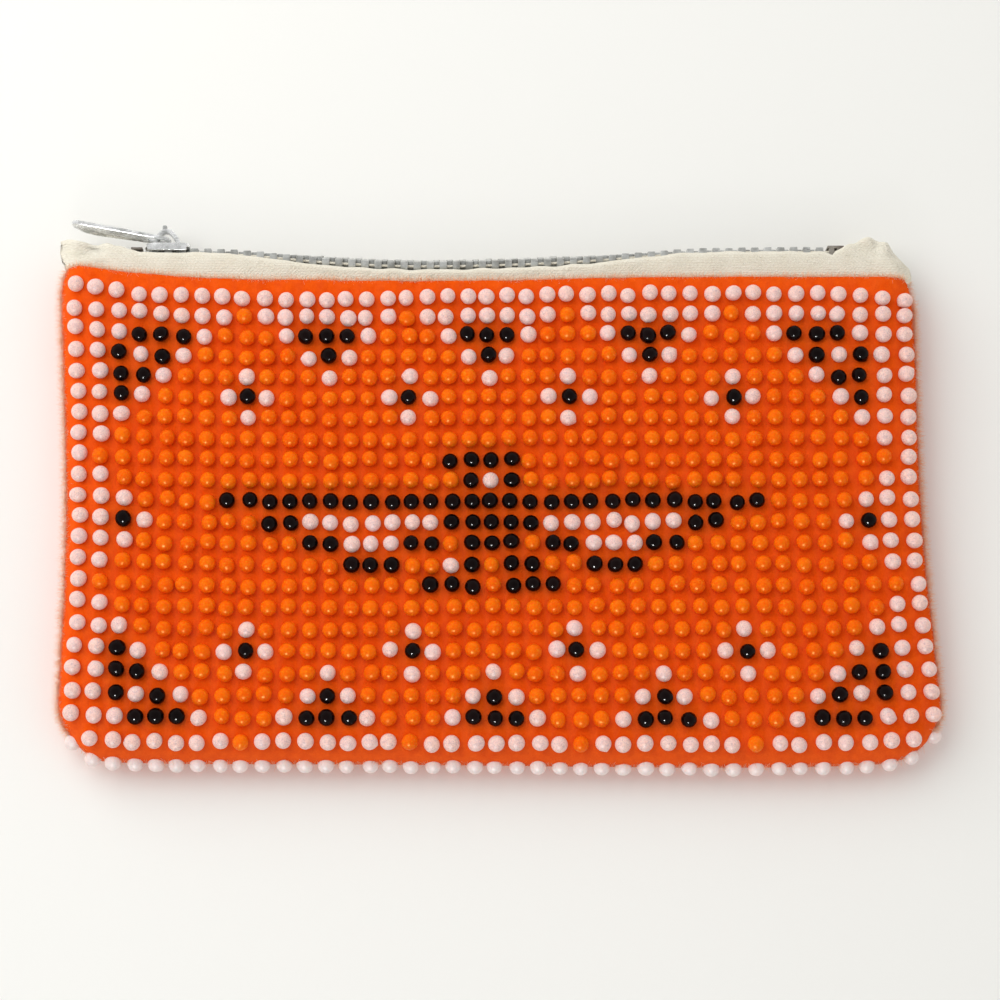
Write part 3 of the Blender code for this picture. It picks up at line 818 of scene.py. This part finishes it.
def bead_shape(unit, nib_share, rng):
    """A unit ball, a little stretched and turned, at times with the nib of its mould."""
    stretch = 1 + rng.normal(scale=BEAD_STRETCH, size=3).clip(-2 * BEAD_STRETCH, 2 * BEAD_STRETCH)
    shape = unit.copy()
    if rng.random() < nib_share:
        level = rng.uniform(-0.5, 0.9)
        turn = rng.uniform(0, tau)
        flat = (1 - level**2) ** 0.5
        nib = np.array([flat * cos(turn), flat * sin(turn), level])
        shape *= (1 + NIB_HEIGHT * np.exp((unit @ nib - 1) / NIB_WIDTH))[:, None]
    return (shape * stretch) @ random_turn(rng).T


def bead_group(name, letter, finish, around, along, nib_share, rng):
    """All the beads of one colour as one mesh."""
    unit, unit_faces = ball(around, along)
    points, faces, shades = [], [], []
    for x, y, seat in bead_places(letter):
        east, north, out = face_axes(x, y)
        shift = rng.normal(scale=BEAD_SHIFT, size=2).clip(-2 * BEAD_SHIFT, 2 * BEAD_SHIFT)
        middle = face_point(1, 0, x, y) + out * seat + east * shift[0] + north * shift[1]
        start = len(points) * len(unit)
        points.append(middle + bead_shape(unit, nib_share, rng) * BEAD_RADIUS)
        faces.extend(tuple(k + start for k in face) for face in unit_faces)
        # The foot's edge beads get shade 1, which the white finish paints whiter for the felt's orange
        # bounce they lack; the others get a random shade
        shade = 1.0 if seat == EDGE_BEAD_SEAT else 0.8 * rng.random()
        shades.append(np.full(len(unit), shade))
    points, shades = np.concatenate(points), np.concatenate(shades)
    return mesh_piece(name, "front_panel", points, faces, finish, shade=shades)


def beads():
    """The three colours of beads."""
    rng = np.random.default_rng(SEED + 3)
    bead_group("white_beads", "W", white_bead_material(), 22, 14, 0.22, rng)
    bead_group("black_beads", "B", black_bead_material(), 24, 16, 0.06, rng)
    bead_group("orange_beads", ".", orange_bead_material(), 18, 11, 0.18, rng)


# Zip: the line of the chain and the tapes


def bell(x, left, middle, right):
    """1 at the middle, falling smoothly to 0 at the left and at the right."""
    reach = np.where(x < middle, middle - left, right - middle)
    return 0.5 + 0.5 * np.cos(pi * np.clip((x - middle) / reach, -1, 1))


def chain_line(x):
    """Height along Y of the chain's middle: it sags between the slider's two ends of travel."""
    return CHAIN_Y - SAG_DEPTH * bell(np.asarray(x, float), SAG_LEFT, SAG_MIDDLE, SAG_RIGHT)


def bare_share(x):
    """1 where the front teeth hang free of their tape's edge, 0 where it hides their feet."""
    return smooth(rise(x, *BARE_FROM)) * (1 - smooth(rise(x, *BARE_TO)))


def ear_share(x):
    """0 along the chain, 1 in the folded tape ends past the stops."""
    left = (TOP_STOP_START - EAR_START - x) / EAR_LENGTH
    right = (x - BOTTOM_STOP_X - 2 * EAR_START) / EAR_LENGTH
    return smooth(np.maximum(left, right))


def tape_top(side, x):
    """Height along Y of the top of a tape."""
    along = chain_line(x) + 0.12 * MM * waves(x, 0 * x, 5 * MM, SEED + 7) - TAPE_DROP
    if side > 0:
        along = along - BARE_DROP * bare_share(x)
    tops = along
    for line in (LEFT_EAR_TOP, RIGHT_EAR_TOP):
        xs, ys = (np.array(v) * MM for v in zip(*line))
        inside = (x >= xs[0]) & (x <= xs[-1])
        folded = CHAIN_Y + np.interp(x, xs, ys)
        folded = folded + 0.22 * MM * waves(x, 0 * x, 2.5 * MM, SEED + 13 + side)
        if side < 0:
            folded = folded + 0.35 * MM * (1 + waves(x, 0 * x, 6 * MM, SEED + 8))
        tops = np.where(inside, folded, tops)
    if side > 0:
        tops = tops - STOP_DROP * np.exp(-(((x - BOTTOM_STOP_X) / STOP_NOTCH) ** 2))
    return tops


def tape_path(side, x, top):
    """Middle line of one tape across the zip: pairs of offset from the chain and y, from
    inside the purse to the edge beside the chain."""
    ear = float(ear_share(np.array(x)))
    bottom = MOUTH_Y - TAPE_DEPTH
    seat = TAPE_SEAT + TAPE / 2

    def leg(y):
        return float(side * (face_height(side, FELT, np.array(x), np.array(y)) - CHAIN_Z) - seat)

    edge = CHAIN_WIDTH / 2 + 0.1 * MM
    edge += (EAR_GAP / 2 - edge) * ear
    edge = min(edge, leg(MOUTH_Y) - TAPE_BEND)
    knee = leg(MOUTH_Y)
    ys = np.linspace(bottom, MOUTH_Y, 5)[:-1]
    path = [(leg(y), y) for y in ys]
    path += [(knee, y) for y in np.linspace(MOUTH_Y, top - TAPE_BEND, 6)[:-1]]
    turns = [pi / 10 * k for k in range(6)]
    path += [(knee - TAPE_BEND * (1 - cos(a)), top - TAPE_BEND * (1 - sin(a))) for a in turns]
    path += [(edge + (knee - TAPE_BEND - edge) * (1 - k / 4), top) for k in range(1, 5)]
    return np.array(path)


def path_ways(path):
    """Unit vectors along a flat path and to its right."""
    along = np.gradient(path, axis=0)
    along /= np.linalg.norm(along, axis=1, keepdims=True)
    return along, np.stack([along[:, 1], -along[:, 0]], -1)


def section_loop(path, thickness):
    """A closed loop of points half a thickness to both sides of a path."""
    along, across = path_ways(path)
    half = thickness / 2
    ends = path[-1] + along[-1] * half * 0.8
    return np.concatenate([path + across * half, [ends], (path - across * half)[::-1]])


def crumple(path, side, x):
    """Moves a tape's path off its plane: soft waves, and crumples and a crease in the ends."""
    across, up = np.full(len(path), x), path[:, 1].copy()
    ear = float(ear_share(np.array(x)))
    free = smooth((up - MOUTH_Y) / (3 * MM))
    path[:, 0] += TAPE_WAVE * waves(across, up, 6 * MM, SEED + 9 + side) * free
    path[:, 0] += EAR_CRUMPLE * waves(across, 2.0 * up, 4 * MM, SEED + 12) * free * ear
    above = up - CHAIN_Y - 0.1 * MM - 0.06 * (abs(x) - TAPE_END)
    path[:, 0] -= EAR_CREASE * np.exp(-((above / (0.35 * MM)) ** 2)) * ear


def lean(above, x):
    """How far along X the tape's ends lean at a height above the mouth: the left one leans
    out at its top, the right one bulges out low down."""
    left_end = smooth((-x - TAPE_END + EAR_LEAN_REACH) / EAR_LEAN_REACH)
    right_end = smooth((x - TAPE_END + EAR_LEAN_REACH) / EAR_LEAN_REACH)
    flare = EAR_FLARE * smooth(above / (5 * MM)) * left_end
    low = smooth((above + 1 * MM) / MM) * (1 - smooth((above - 1 * MM) / (4 * MM)))
    return RIGHT_EAR_FLARE * low * right_end - flare


def end_caps(around, last):
    """Faces across the two ends of a tape. Where two corners fall together at the fold, the
    face has three."""
    faces = []
    for start, flip in ((0, False), (last, True)):
        for k in range(around // 2):
            face = (start + k, start + k + 1, start + around - 2 - k, start + around - 1 - k)
            face = tuple(dict.fromkeys(face))
            if len(face) > 2:
                faces.append(face[::-1] if flip else face)
    return faces


def tape(name, node, side, finish):
    """One cotton tape, folded over at both ends, with a layout in millimetres for its weave."""
    xs = np.arange(-TAPE_END, TAPE_END + TAPE_STEP / 2, TAPE_STEP)
    points, uv = [], []
    for x, top in zip(xs, tape_top(side, xs)):
        path = tape_path(side, x, top)
        crumple(path, side, x)
        loop = section_loop(path, TAPE)
        steps = np.linalg.norm(np.diff(loop, axis=0), axis=1)
        lengths = np.concatenate([[0], np.cumsum(steps)]) / MM
        across = x + lean(loop[:, 1] - MOUTH_Y, x)
        points.append(np.stack([across, loop[:, 1], CHAIN_Z + side * loop[:, 0]], -1))
        uv.append(np.stack([np.full(len(loop), x / MM), lengths], -1))
    around = len(points[0])
    faces = grid_faces(len(points), around, wrap=True)
    faces += end_caps(around, (len(points) - 1) * around)
    points, uv = np.concatenate(points), np.concatenate(uv)
    return mesh_piece(name, node, points, outward(points, faces), finish, uv=uv)


# Zip: metal parts


def prism(outline, axis, low, high):
    """A closed prism: outline holds pairs in the other two axes, in X, Y, Z order."""
    mesh = bmesh.new()
    ends = []
    for level in (low, high):
        loop = []
        for first, second in outline:
            place = [first, second]
            place.insert(axis, level)
            loop.append(mesh.verts.new(place))
        ends.append(loop)
    count = len(outline)
    for k in range(count):
        far = (k + 1) % count
        mesh.faces.new((ends[0][k], ends[0][far], ends[1][far], ends[1][k]))
    mesh.faces.new(ends[0])
    mesh.faces.new(ends[1])
    return mesh


def block(low, high):
    """A box between two corners."""
    outline = [(low[0], low[1]), (high[0], low[1]), (high[0], high[1]), (low[0], high[1])]
    return prism(outline, 2, low[2], high[2])


def softened(mesh, offset, segments=2, turn=30):
    """The mesh with its sharp edges bevelled."""
    bmesh.ops.recalc_face_normals(mesh, faces=mesh.faces)
    sharp = [e for e in mesh.edges if e.calc_face_angle(0) > radians(turn)]
    bmesh.ops.bevel(mesh, geom=sharp, offset=offset, segments=segments, profile=0.6, affect="EDGES")
    bmesh.ops.recalc_face_normals(mesh, faces=mesh.faces)
    return mesh


def gather(name, node, meshes, place, finish, body="purse"):
    """One metal object from several closed bmesh shells, moved to a place."""
    points, faces = [], []
    for mesh in meshes:
        start = len(points)
        mesh.verts.index_update()
        points.extend(v.co + Vector(place) for v in mesh.verts)
        faces.extend(tuple(v.index + start for v in f.verts) for f in mesh.faces)
        mesh.free()
    return mesh_piece(name, node, points, faces, finish, body)


def tooth(side):
    """One tooth round the chain's middle: a foot clamped on the cord and a narrower head."""
    outline = [
        (-TOOTH_ROOT / 2, side * CHAIN_WIDTH / 2),
        (TOOTH_ROOT / 2, side * CHAIN_WIDTH / 2),
        (TOOTH_ROOT / 2, side * CORD_OFFSET * 0.55),
        (TOOTH_TIP / 2, side * CORD_OFFSET * 0.3),
        (TOOTH_TIP / 2, -side * TOOTH_LAP),
        (-TOOTH_TIP / 2, -side * TOOTH_LAP),
        (-TOOTH_TIP / 2, side * CORD_OFFSET * 0.3),
        (-TOOTH_ROOT / 2, side * CORD_OFFSET * 0.55),
    ]
    return softened(prism(outline, 1, -TOOTH_HEIGHT / 2, TOOTH_HEIGHT / 2), TOOTH_BEVEL)


def teeth(name, node, side, finish, rng):
    """One row of teeth, rolled forward where the chain sags."""
    one = tooth(side)
    one.verts.index_update()
    unit = np.array([v.co for v in one.verts])
    unit_faces = [tuple(v.index for v in f.verts) for f in one.faces]
    one.free()
    first = FIRST_TOOTH + (0 if side > 0 else TOOTH_PITCH / 2)
    points, faces = [], []
    for x in np.arange(first, LAST_TOOTH, TOOTH_PITCH):
        roll = -ROLL * float(bare_share(x)) + rng.normal(scale=radians(1.2))
        shape = unit * (1 + rng.normal(scale=0.015, size=3))
        y = shape[:, 1] * cos(roll) + shape[:, 2] * sin(roll)
        z = shape[:, 2] * cos(roll) - shape[:, 1] * sin(roll)
        start = len(points) * len(unit)
        points.append(np.stack([x + shape[:, 0], float(chain_line(x)) + y, CHAIN_Z + z], -1))
        faces.extend(tuple(k + start for k in face) for face in unit_faces)
    return mesh_piece(name, node, np.concatenate(points), faces, finish)


def cord(name, node, side, finish):
    """The cotton cord inside one row of teeth."""
    around = 10
    xs = np.arange(TOP_STOP_START - 0.3 * MM, BOTTOM_STOP_X + 1.3 * MM, 0.5 * MM)
    points, uv = [], []
    for k, x in enumerate(xs):
        roll = -ROLL * float(bare_share(x))
        size = CORD_SEEN / 2 * (0.3 if k in (0, len(xs) - 1) else 1.0)
        for j in range(around):
            y = size * cos(tau * j / around) + side * CORD_OFFSET * sin(roll)
            z = size * sin(tau * j / around) + side * CORD_OFFSET * cos(roll)
            points.append((x, float(chain_line(x)) + y, CHAIN_Z + z))
            uv.append((x / MM, 0.25 * j))
    faces = grid_faces(len(xs), around, wrap=True)
    faces += [tuple(range(around)), tuple(range(len(points) - around, len(points)))[::-1]]
    return mesh_piece(name, node, points, outward(points, faces), finish, uv=uv)


def slider_plate(low):
    """One plate of the slider, from a height upwards."""
    points = [(x * MM, z * MM) for x, z in SLIDER_PLAN]
    plan = points + [(x, -z) for x, z in reversed(points)]
    return softened(prism(plan, 1, low, low + SLIDER_WALL), 0.16 * MM)


def slider_flange(side, level):
    """A strip along one side of a plate, which narrows the slot to the tape's width."""
    inner = side * (SLIDER_HALF - SLIDER_FLANGE)
    outer = side * (SLIDER_HALF - 0.02 * MM)
    near, far = sorted((level * TAPE_SLOT / 2, level * (SLIDER_ROOM + SLIDER_LAP)))
    low = (FLANGE_INSET, near, min(inner, outer))
    high = (SLIDER_LENGTH - FLANGE_INSET, far, max(inner, outer))
    return softened(block(low, high), 0.06 * MM)


def slider_wedge():
    """The wedge that parts the teeth behind the nose."""
    start, widest, half, point = 0.25 * MM, WEDGE_LENGTH / 3, WEDGE_WIDTH / 2, 0.15 * MM
    plan = [(start, -half * 0.6), (widest, -half), (WEDGE_LENGTH, -point),
            (WEDGE_LENGTH, point), (widest, half), (start, half * 0.6)]
    deep = SLIDER_ROOM + SLIDER_LAP
    return softened(prism(plan, 1, -deep, deep), 0.06 * MM)


def arch_ring(middle, across, crown):
    """The points round the strap at one place: a soft rectangle. crown is 1 at its top."""
    wide = ARCH_WIDTH / 2 * (1.15 - 0.35 * crown)
    thick = ARCH_WALL / 2 * (1.0 + 0.15 * crown)
    ring = []
    for j in range(ARCH_AROUND):
        turn = tau * j / ARCH_AROUND
        u = np.sign(cos(turn)) * abs(cos(turn)) ** ARCH_SQUARENESS * thick
        w = np.sign(sin(turn)) * abs(sin(turn)) ** ARCH_SQUARENESS * wide
        ring.append((*(middle - across * u), w))
    return ring


def slider_arch():
    """A bent strap over the slider's top plate, narrower at its crown."""
    line = np.array(ARCH_LINE) * MM
    steps = np.linspace(0, len(line) - 1, ARCH_RINGS)
    path = np.stack([np.interp(steps, range(len(line)), line[:, k]) for k in (0, 1)], -1)
    for _ in range(6):
        path[1:-1] = 0.25 * path[:-2] + 0.5 * path[1:-1] + 0.25 * path[2:]
    across = path_ways(path)[1]
    path[:, 0] += SLIDER_LENGTH / 2
    mesh = bmesh.new()
    rings = []
    for k in range(ARCH_RINGS):
        crown = sin(pi * k / (ARCH_RINGS - 1))
        rings.append([mesh.verts.new(p) for p in arch_ring(path[k], across[k], crown)])
    for one, other in zip(rings, rings[1:]):
        for j in range(ARCH_AROUND):
            far = (j + 1) % ARCH_AROUND
            mesh.faces.new((one[j], one[far], other[far], other[j]))
    mesh.faces.new(rings[0])
    mesh.faces.new(rings[-1])
    bmesh.ops.recalc_face_normals(mesh, faces=mesh.faces)
    return mesh


def slider(finish):
    """Two plates joined by a wedge, flanged at the sides, with an arch and a nub on top."""
    parts = [slider_plate(low) for low in (SLIDER_ROOM, -SLIDER_ROOM - SLIDER_WALL)]
    parts += [slider_flange(side, level) for side in (1, -1) for level in (1, -1)]
    parts += [slider_wedge(), slider_arch()]
    middle = SLIDER_LENGTH / 2
    nub = block((middle - 0.95 * MM, 4.1 * MM, -0.45 * MM), (middle - 0.25 * MM, 4.95 * MM, 0.45 * MM))
    parts.append(softened(nub, 0.2 * MM, 3))
    place = (SLIDER_NOSE, CHAIN_Y, CHAIN_Z)
    return gather("metal_slider", "slider_body", parts, place, finish, "slider")


def pull_outline():
    """The pull's plan as (x, z) round its pivot: a tab whose tip has one sharp and one cut
    corner, in steps of about half a millimetre."""
    bar = PULL_BAR / 2
    tip = bar - PULL_LENGTH
    neck, wide = PULL_NECK / 2, PULL_WIDTH / 2
    root = [(bar, neck - 0.5 * MM), (bar - 0.5 * MM, neck), (-bar - PULL_WINDOW, neck)]
    sharp = [(tip + 1.2 * MM, wide), (tip + 0.1 * MM, wide - 0.2 * MM)]
    cut = [(tip + 0.1 * MM, 0.2 * MM), (tip + 1.6 * MM, -wide + 0.5 * MM), (tip + 3.0 * MM, -wide)]
    corners = np.array(root + sharp + cut + [(x, -z) for x, z in reversed(root)])
    points = []
    for near, far in zip(corners, np.roll(corners, -1, 0)):
        steps = max(1, round(np.linalg.norm(far - near) / (0.5 * MM)))
        points += [near + (far - near) * s / steps for s in range(steps)]
    outline = np.array(points)
    for _ in range(2):
        outline = 0.25 * np.roll(outline, 1, 0) + 0.5 * outline + 0.25 * np.roll(outline, -1, 0)
    return outline


def pull_window(outer):
    """The window's outline: for each point of the tab's, the one between it and the middle."""
    middle = np.array([-(PULL_BAR / 2 + PULL_WINDOW / 2), 0.0])
    reach = outer - middle
    share = (np.abs(reach / (PULL_WINDOW / 2, PULL_RAIL)) ** 7).sum(1) ** (-1 / 7)
    return middle + reach * share[:, None]


def pull_face(outer, inner):
    """The tab's upper face, from the window's wall to the outer wall, as rings of plan and
    height: a raised rim round each, and a sunk middle."""
    room = np.linalg.norm(outer - inner, axis=1)
    way = (outer - inner) / room[:, None]
    half = PULL_THICKNESS / 2
    low = half - PULL_EDGE
    sunk = half - PULL_SINK * smooth((room - 1.4 * MM) / (2.5 * MM))
    # Each step: the most that a ring lies in from its edge, as a length and as a share of the
    # room, and its height
    window_steps = [(0, 1, 0), (0, 1, low), (PULL_EDGE, 1, half),
                    (0.9 * MM, 0.3, half), (1.3 * MM, 0.4, sunk)]
    outer_steps = [(1.05 * MM, 0.35, sunk), (0.75 * MM, 0.35, half),
                   (PULL_EDGE, 0.35, half), (0, 1, low), (0, 1, 0)]
    rings = []
    for edge, sign, steps in ((inner, 1, window_steps), (outer, -1, outer_steps)):
        for most, share, height in steps:
            step = sign * np.minimum(most, room * share)
            rings.append((edge + way * step[:, None], np.zeros(len(outer)) + height))
    return rings


def pull(finish):
    """The pull tab, sloping down from its bar under the arch."""
    outer = pull_outline()
    rings = pull_face(outer, pull_window(outer))
    rings = rings[:-1] + [(plan, -height) for plan, height in reversed(rings[1:])]
    points = []
    for plan, height in rings:
        x = plan[:, 0] * cos(PULL_ANGLE) + height * sin(PULL_ANGLE)
        y = height * cos(PULL_ANGLE) - plan[:, 0] * sin(PULL_ANGLE)
        points.append(np.stack([x, y, plan[:, 1]], -1) + np.array(PIVOT))
    count = len(outer)
    faces = grid_faces(len(rings), count, wrap=True)
    last = (len(rings) - 1) * count
    faces += [(last + k, last + (k + 1) % count, (k + 1) % count, k) for k in range(count)]
    points = np.concatenate(points)
    faces = outward(points, faces)
    return mesh_piece("metal_pull", "pull_tab", points, faces, finish, "pull")


def top_clip(name, node, side, finish):
    """A clip bent round the cord at the closed end."""
    inside = CORD / 2 + CLAMP_CLEARANCE
    outside = inside + STOP_WALL
    near = CORD_OFFSET - CORD / 2 - CLAMP_CLEARANCE
    back, far = near - STOP_WALL, CHAIN_WIDTH / 2 + STOP_PROUD
    clip = [(-outside, far), (-outside, back), (outside, back), (outside, far),
            (inside, far), (inside, near), (-inside, near), (-inside, far)]
    outline = [(y, side * z) for y, z in clip]
    mesh = softened(prism(outline, 0, 0, TOP_STOP_END - TOP_STOP_START), 0.1 * MM)
    place = (TOP_STOP_START, CHAIN_Y, CHAIN_Z)
    return gather(name, node, [mesh], place, finish)


def bottom_block(finish):
    """The block at the other end: a bar across both cords, and two jaws and a core below it."""
    half = CHAIN_WIDTH / 2 + STOP_PROUD
    bar = block((-1.3 * MM, 0.5 * MM, -half), (1.3 * MM, 0.95 * MM, half))
    jaws = [block((start, -0.95 * MM, -half), (start + 0.85 * MM, 0.6 * MM, half))
            for start in (-1.05 * MM, 0.2 * MM)]
    core = block((-0.8 * MM, -0.7 * MM, -0.8 * MM), (0.8 * MM, 0.6 * MM, 0.8 * MM))
    parts = [softened(bar, 0.12 * MM)]
    parts += [softened(mesh, 0.15 * MM) for mesh in (*jaws, core)]
    place = (BOTTOM_STOP_X, CHAIN_Y, CHAIN_Z)
    return gather("bottom_block", "bottom_stop", parts, place, finish)


# Loose fibres


def fibres(name, node, roots, ways, lengths, radius, finish, slot, rng):
    """Tapered fibres, closed and three-sided: each starts at a root and leans off its way."""
    count = len(roots)
    ways = ways / np.linalg.norm(ways, axis=1, keepdims=True)
    bends = rng.normal(size=(count, 3))
    bends -= ways * (bends * ways).sum(1, keepdims=True)
    side = bends / np.linalg.norm(bends, axis=1, keepdims=True)
    other = np.cross(ways, side)
    tips = roots + (ways + FIBRE_BEND * bends) * lengths[:, None]
    rings = []
    for middle, size in ((roots, radius), (tips, FIBRE_TIP * radius)):
        for turn in (0, tau / 3, 2 * tau / 3):
            rings.append(middle + size * (cos(turn) * side + sin(turn) * other))
    points = np.stack(rings, 1).reshape(-1, 3)
    unit = [(2, 1, 0), (3, 4, 5)] + [(k, (k + 1) % 3, 3 + (k + 1) % 3, 3 + k) for k in range(3)]
    faces = [tuple(6 * n + k for k in face) for n in range(count) for face in unit]
    shade = np.repeat(rng.random(count), 6)
    return mesh_piece(name, node, points, faces, finish, shade=shade)


def scattered(rng, count, way, spreads):
    """Vectors about one way, with a random spread along X, Y and Z where it isn't 0."""
    parts = [np.full(count, float(part)) for part in way]
    for part, spread in zip(parts, spreads):
        if spread:
            part += rng.normal(scale=spread, size=count)
    return np.stack(parts, -1)


def felt_fibres(finish):
    """Fuzz round the front's outline and along its mouth."""
    rng = np.random.default_rng(SEED + 4)
    roots, ways = [], []
    for edge in (-1, 1):
        y = rng.uniform(FOOT_Y + 2 * MM, MOUTH_Y, SIDE_FIBRES)
        depth = np.abs(rng.normal(scale=0.28 * MM, size=SIDE_FIBRES))
        roots.append(face_point(1, 0, edge * (HALF_WIDTH - depth), y))
        ways.append(scattered(rng, SIDE_FIBRES, (edge, 0, 0), (0, 0.6, 0.7)))
    x = rng.uniform(-HALF_WIDTH, HALF_WIDTH, MOUTH_FIBRES)
    y = MOUTH_Y - np.abs(rng.normal(scale=0.25 * MM, size=MOUTH_FIBRES))
    below = rng.uniform(0, 0.7 * FELT, MOUTH_FIBRES)
    roots.append(face_point(1, 0, x, y) - np.stack([0 * x, 0 * x, below], -1))
    ways.append(scattered(rng, MOUTH_FIBRES, (0, 1, 0), (0.6, 0, 0.5)))
    x = rng.uniform(-HALF_WIDTH + 2 * MM, HALF_WIDTH - 2 * MM, FOOT_FIBRES)
    y = FOOT_Y + np.abs(rng.normal(scale=0.2 * MM, size=FOOT_FIBRES))
    roots.append(face_point(1, 0, x, y))
    ways.append(scattered(rng, FOOT_FIBRES, (0, -1, 0), (0.6, 0, 0.6)))
    roots, ways = np.concatenate(roots), np.concatenate(ways)
    lengths = rng.uniform(0.4, 1.3, len(roots)) * MM
    return fibres("felt_fibres", "front_panel", roots, ways, lengths, FELT_FIBRE_RADIUS, finish,
                  "orange_felt", rng)


def cotton_fibres(finish):
    """A short white nap on the front tape."""
    rng = np.random.default_rng(SEED + 14)
    x = rng.uniform(-TAPE_END + 1 * MM, TAPE_END - 1 * MM, COTTON_FIBRES)
    seen = np.maximum(tape_top(1, x) - TAPE_BEND - MOUTH_Y, 0.1 * MM)
    y = MOUTH_Y + rng.random(COTTON_FIBRES) * seen
    z = face_height(1, FELT, x, 0 * x + MOUTH_Y) - TAPE_SEAT
    roots = np.stack([x, y, z], -1)
    ways = scattered(rng, COTTON_FIBRES, (0, 0, 0.7), (1.0, 1.0, 0))
    lengths = rng.uniform(0.2, 0.6, COTTON_FIBRES) * MM
    return fibres("cotton_fibres", "tape_front", roots, ways, lengths, COTTON_FIBRE_RADIUS, finish,
                  "cotton_tape", rng)


# Camera, lights and floor


def floor_plane():
    """A plain pale floor, a hair below the purse."""
    data = bpy.data.meshes.new("floor")
    size = 2.5
    corners = [(-size, -size, 0), (size, -size, 0), (size, size, 0), (-size, size, 0)]
    data.from_pydata(corners, [], [(0, 1, 2, 3)])
    made, tree, shader, place = new_material("floor")
    cloud = noise(tree, place, 3.0, 2.0, 0.5)
    tint = ramp(tree, cloud, [(0.3, (0.855, 0.85, 0.815)), (0.7, (0.88, 0.875, 0.84))])
    finish_shader(tree, shader, tint, {"Roughness": 0.9})
    data.materials.append(made)
    made = bpy.data.objects.new("floor", data)
    made.location.z = -0.02 * MM
    bpy.context.scene.collection.objects.link(made)


def area_light(name, place, size, power, glossy=True, diffuse=True):
    """A round lamp that shines at the origin."""
    light = bpy.data.lights.new(name, "AREA")
    light.shape = "DISK"
    light.size = size
    light.energy = power
    made = bpy.data.objects.new(name, light)
    made.location = place
    made.rotation_euler = (-Vector(place)).to_track_quat("-Z", "Y").to_euler()
    made.visible_glossy = glossy
    made.visible_diffuse = diffuse
    bpy.context.scene.collection.objects.link(made)


def world():
    """A room that is pale low down and dimmer overhead."""
    made = bpy.data.worlds.new("world")
    made.use_nodes = True
    tree = made.node_tree
    place = tree.nodes.new("ShaderNodeTexCoord")
    split = tree.nodes.new("ShaderNodeSeparateXYZ")
    tree.links.new(place.outputs["Generated"], split.inputs["Vector"])
    levels = [
        (0.0, (0.96, 0.95, 0.93)),
        (0.35, (0.82, 0.81, 0.80)),
        (0.70, (0.68, 0.68, 0.67)),
        (0.90, (0.50, 0.50, 0.50)),
    ]
    tree.links.new(ramp(tree, split.outputs["Z"], levels), tree.nodes["Background"].inputs["Color"])
    bpy.context.scene.world = made


def camera():
    """The photo's view, almost straight down and a little from the foot's side."""
    data = bpy.data.cameras.new("camera")
    data.lens = 85.0
    data.sensor_width = 36.0
    data.clip_start = 0.01
    made = bpy.data.objects.new("camera", data)
    made.location = (-8.8 * MM, -75.1 * MM, 354.4 * MM)
    made.rotation_euler = (radians(12.8), radians(-1.45), radians(-0.63))
    bpy.context.scene.collection.objects.link(made)
    bpy.context.scene.camera = made


def stage():
    """The floor, the camera and the light: a large soft lamp from the back left, and a small
    one that only shows as sparks on what is glossy."""
    bpy.context.scene.view_settings.view_transform = "Standard"
    world()
    camera()
    floor_plane()
    area_light("key", (-0.26, 0.18, 0.36), 0.60, 1.65, glossy=False)
    area_light("window_spark", (-0.12, -0.50, 0.33), 0.13, 10.0, diffuse=False)


def soft_goods():
    """Felt, beads and tapes: gives the two panels, the two tapes and the cotton."""
    felt = felt_material()
    panels = [front_felt(felt), back_felt(felt)]
    beads()
    # The felt fuzz's pale cream tones are painted glow of light through thin fibres
    felt_fibres(fuzz_material("felt_fuzz", (0.94, 0.36, 0.10), (0.95, 0.76, 0.60)))
    cotton = cotton_material()
    tapes = [tape("cotton_front", "tape_front", 1, cotton), tape("cotton_back", "tape_back", -1, cotton)]
    cotton_fibres(fuzz_material("cotton_fuzz", (0.86, 0.82, 0.72), (0.97, 0.95, 0.90)))
    return panels, tapes, cotton


def zip_chain(cotton):
    """Teeth, cords, slider, pull and stops, in three tones of the same metal: bright, duller and dark.
    """
    bright = metal_material("bright_metal", (0.95, 0.96, 0.96), (0.46, 0.47, 0.46), 0.15, 0.40)
    # The teeth's metal: a duller, darker tone of the same finish
    duller = metal_material("duller_metal", (0.66, 0.67, 0.65), (0.34, 0.34, 0.32), 0.25, 0.45)
    dark = metal_material("dark_metal", (0.36, 0.33, 0.29), (0.16, 0.13, 0.11), 0.25, 0.45)
    rng = np.random.default_rng(SEED + 5)
    teeth("teeth_front", "chain_front", 1, duller, rng)
    teeth("teeth_back", "chain_back", -1, duller, rng)
    cord("cord_front", "chain_front", 1, cotton)
    cord("cord_back", "chain_back", -1, cotton)
    slider(bright)
    pull(bright)
    top_clip("top_clip_front", "top_stop_front", 1, dark)
    top_clip("top_clip_back", "top_stop_back", -1, dark)
    bottom_block(dark)


def main():
    """The stage and the purse."""
    stage()
    (front, back), tapes, cotton = soft_goods()
    zip_chain(cotton)


main()
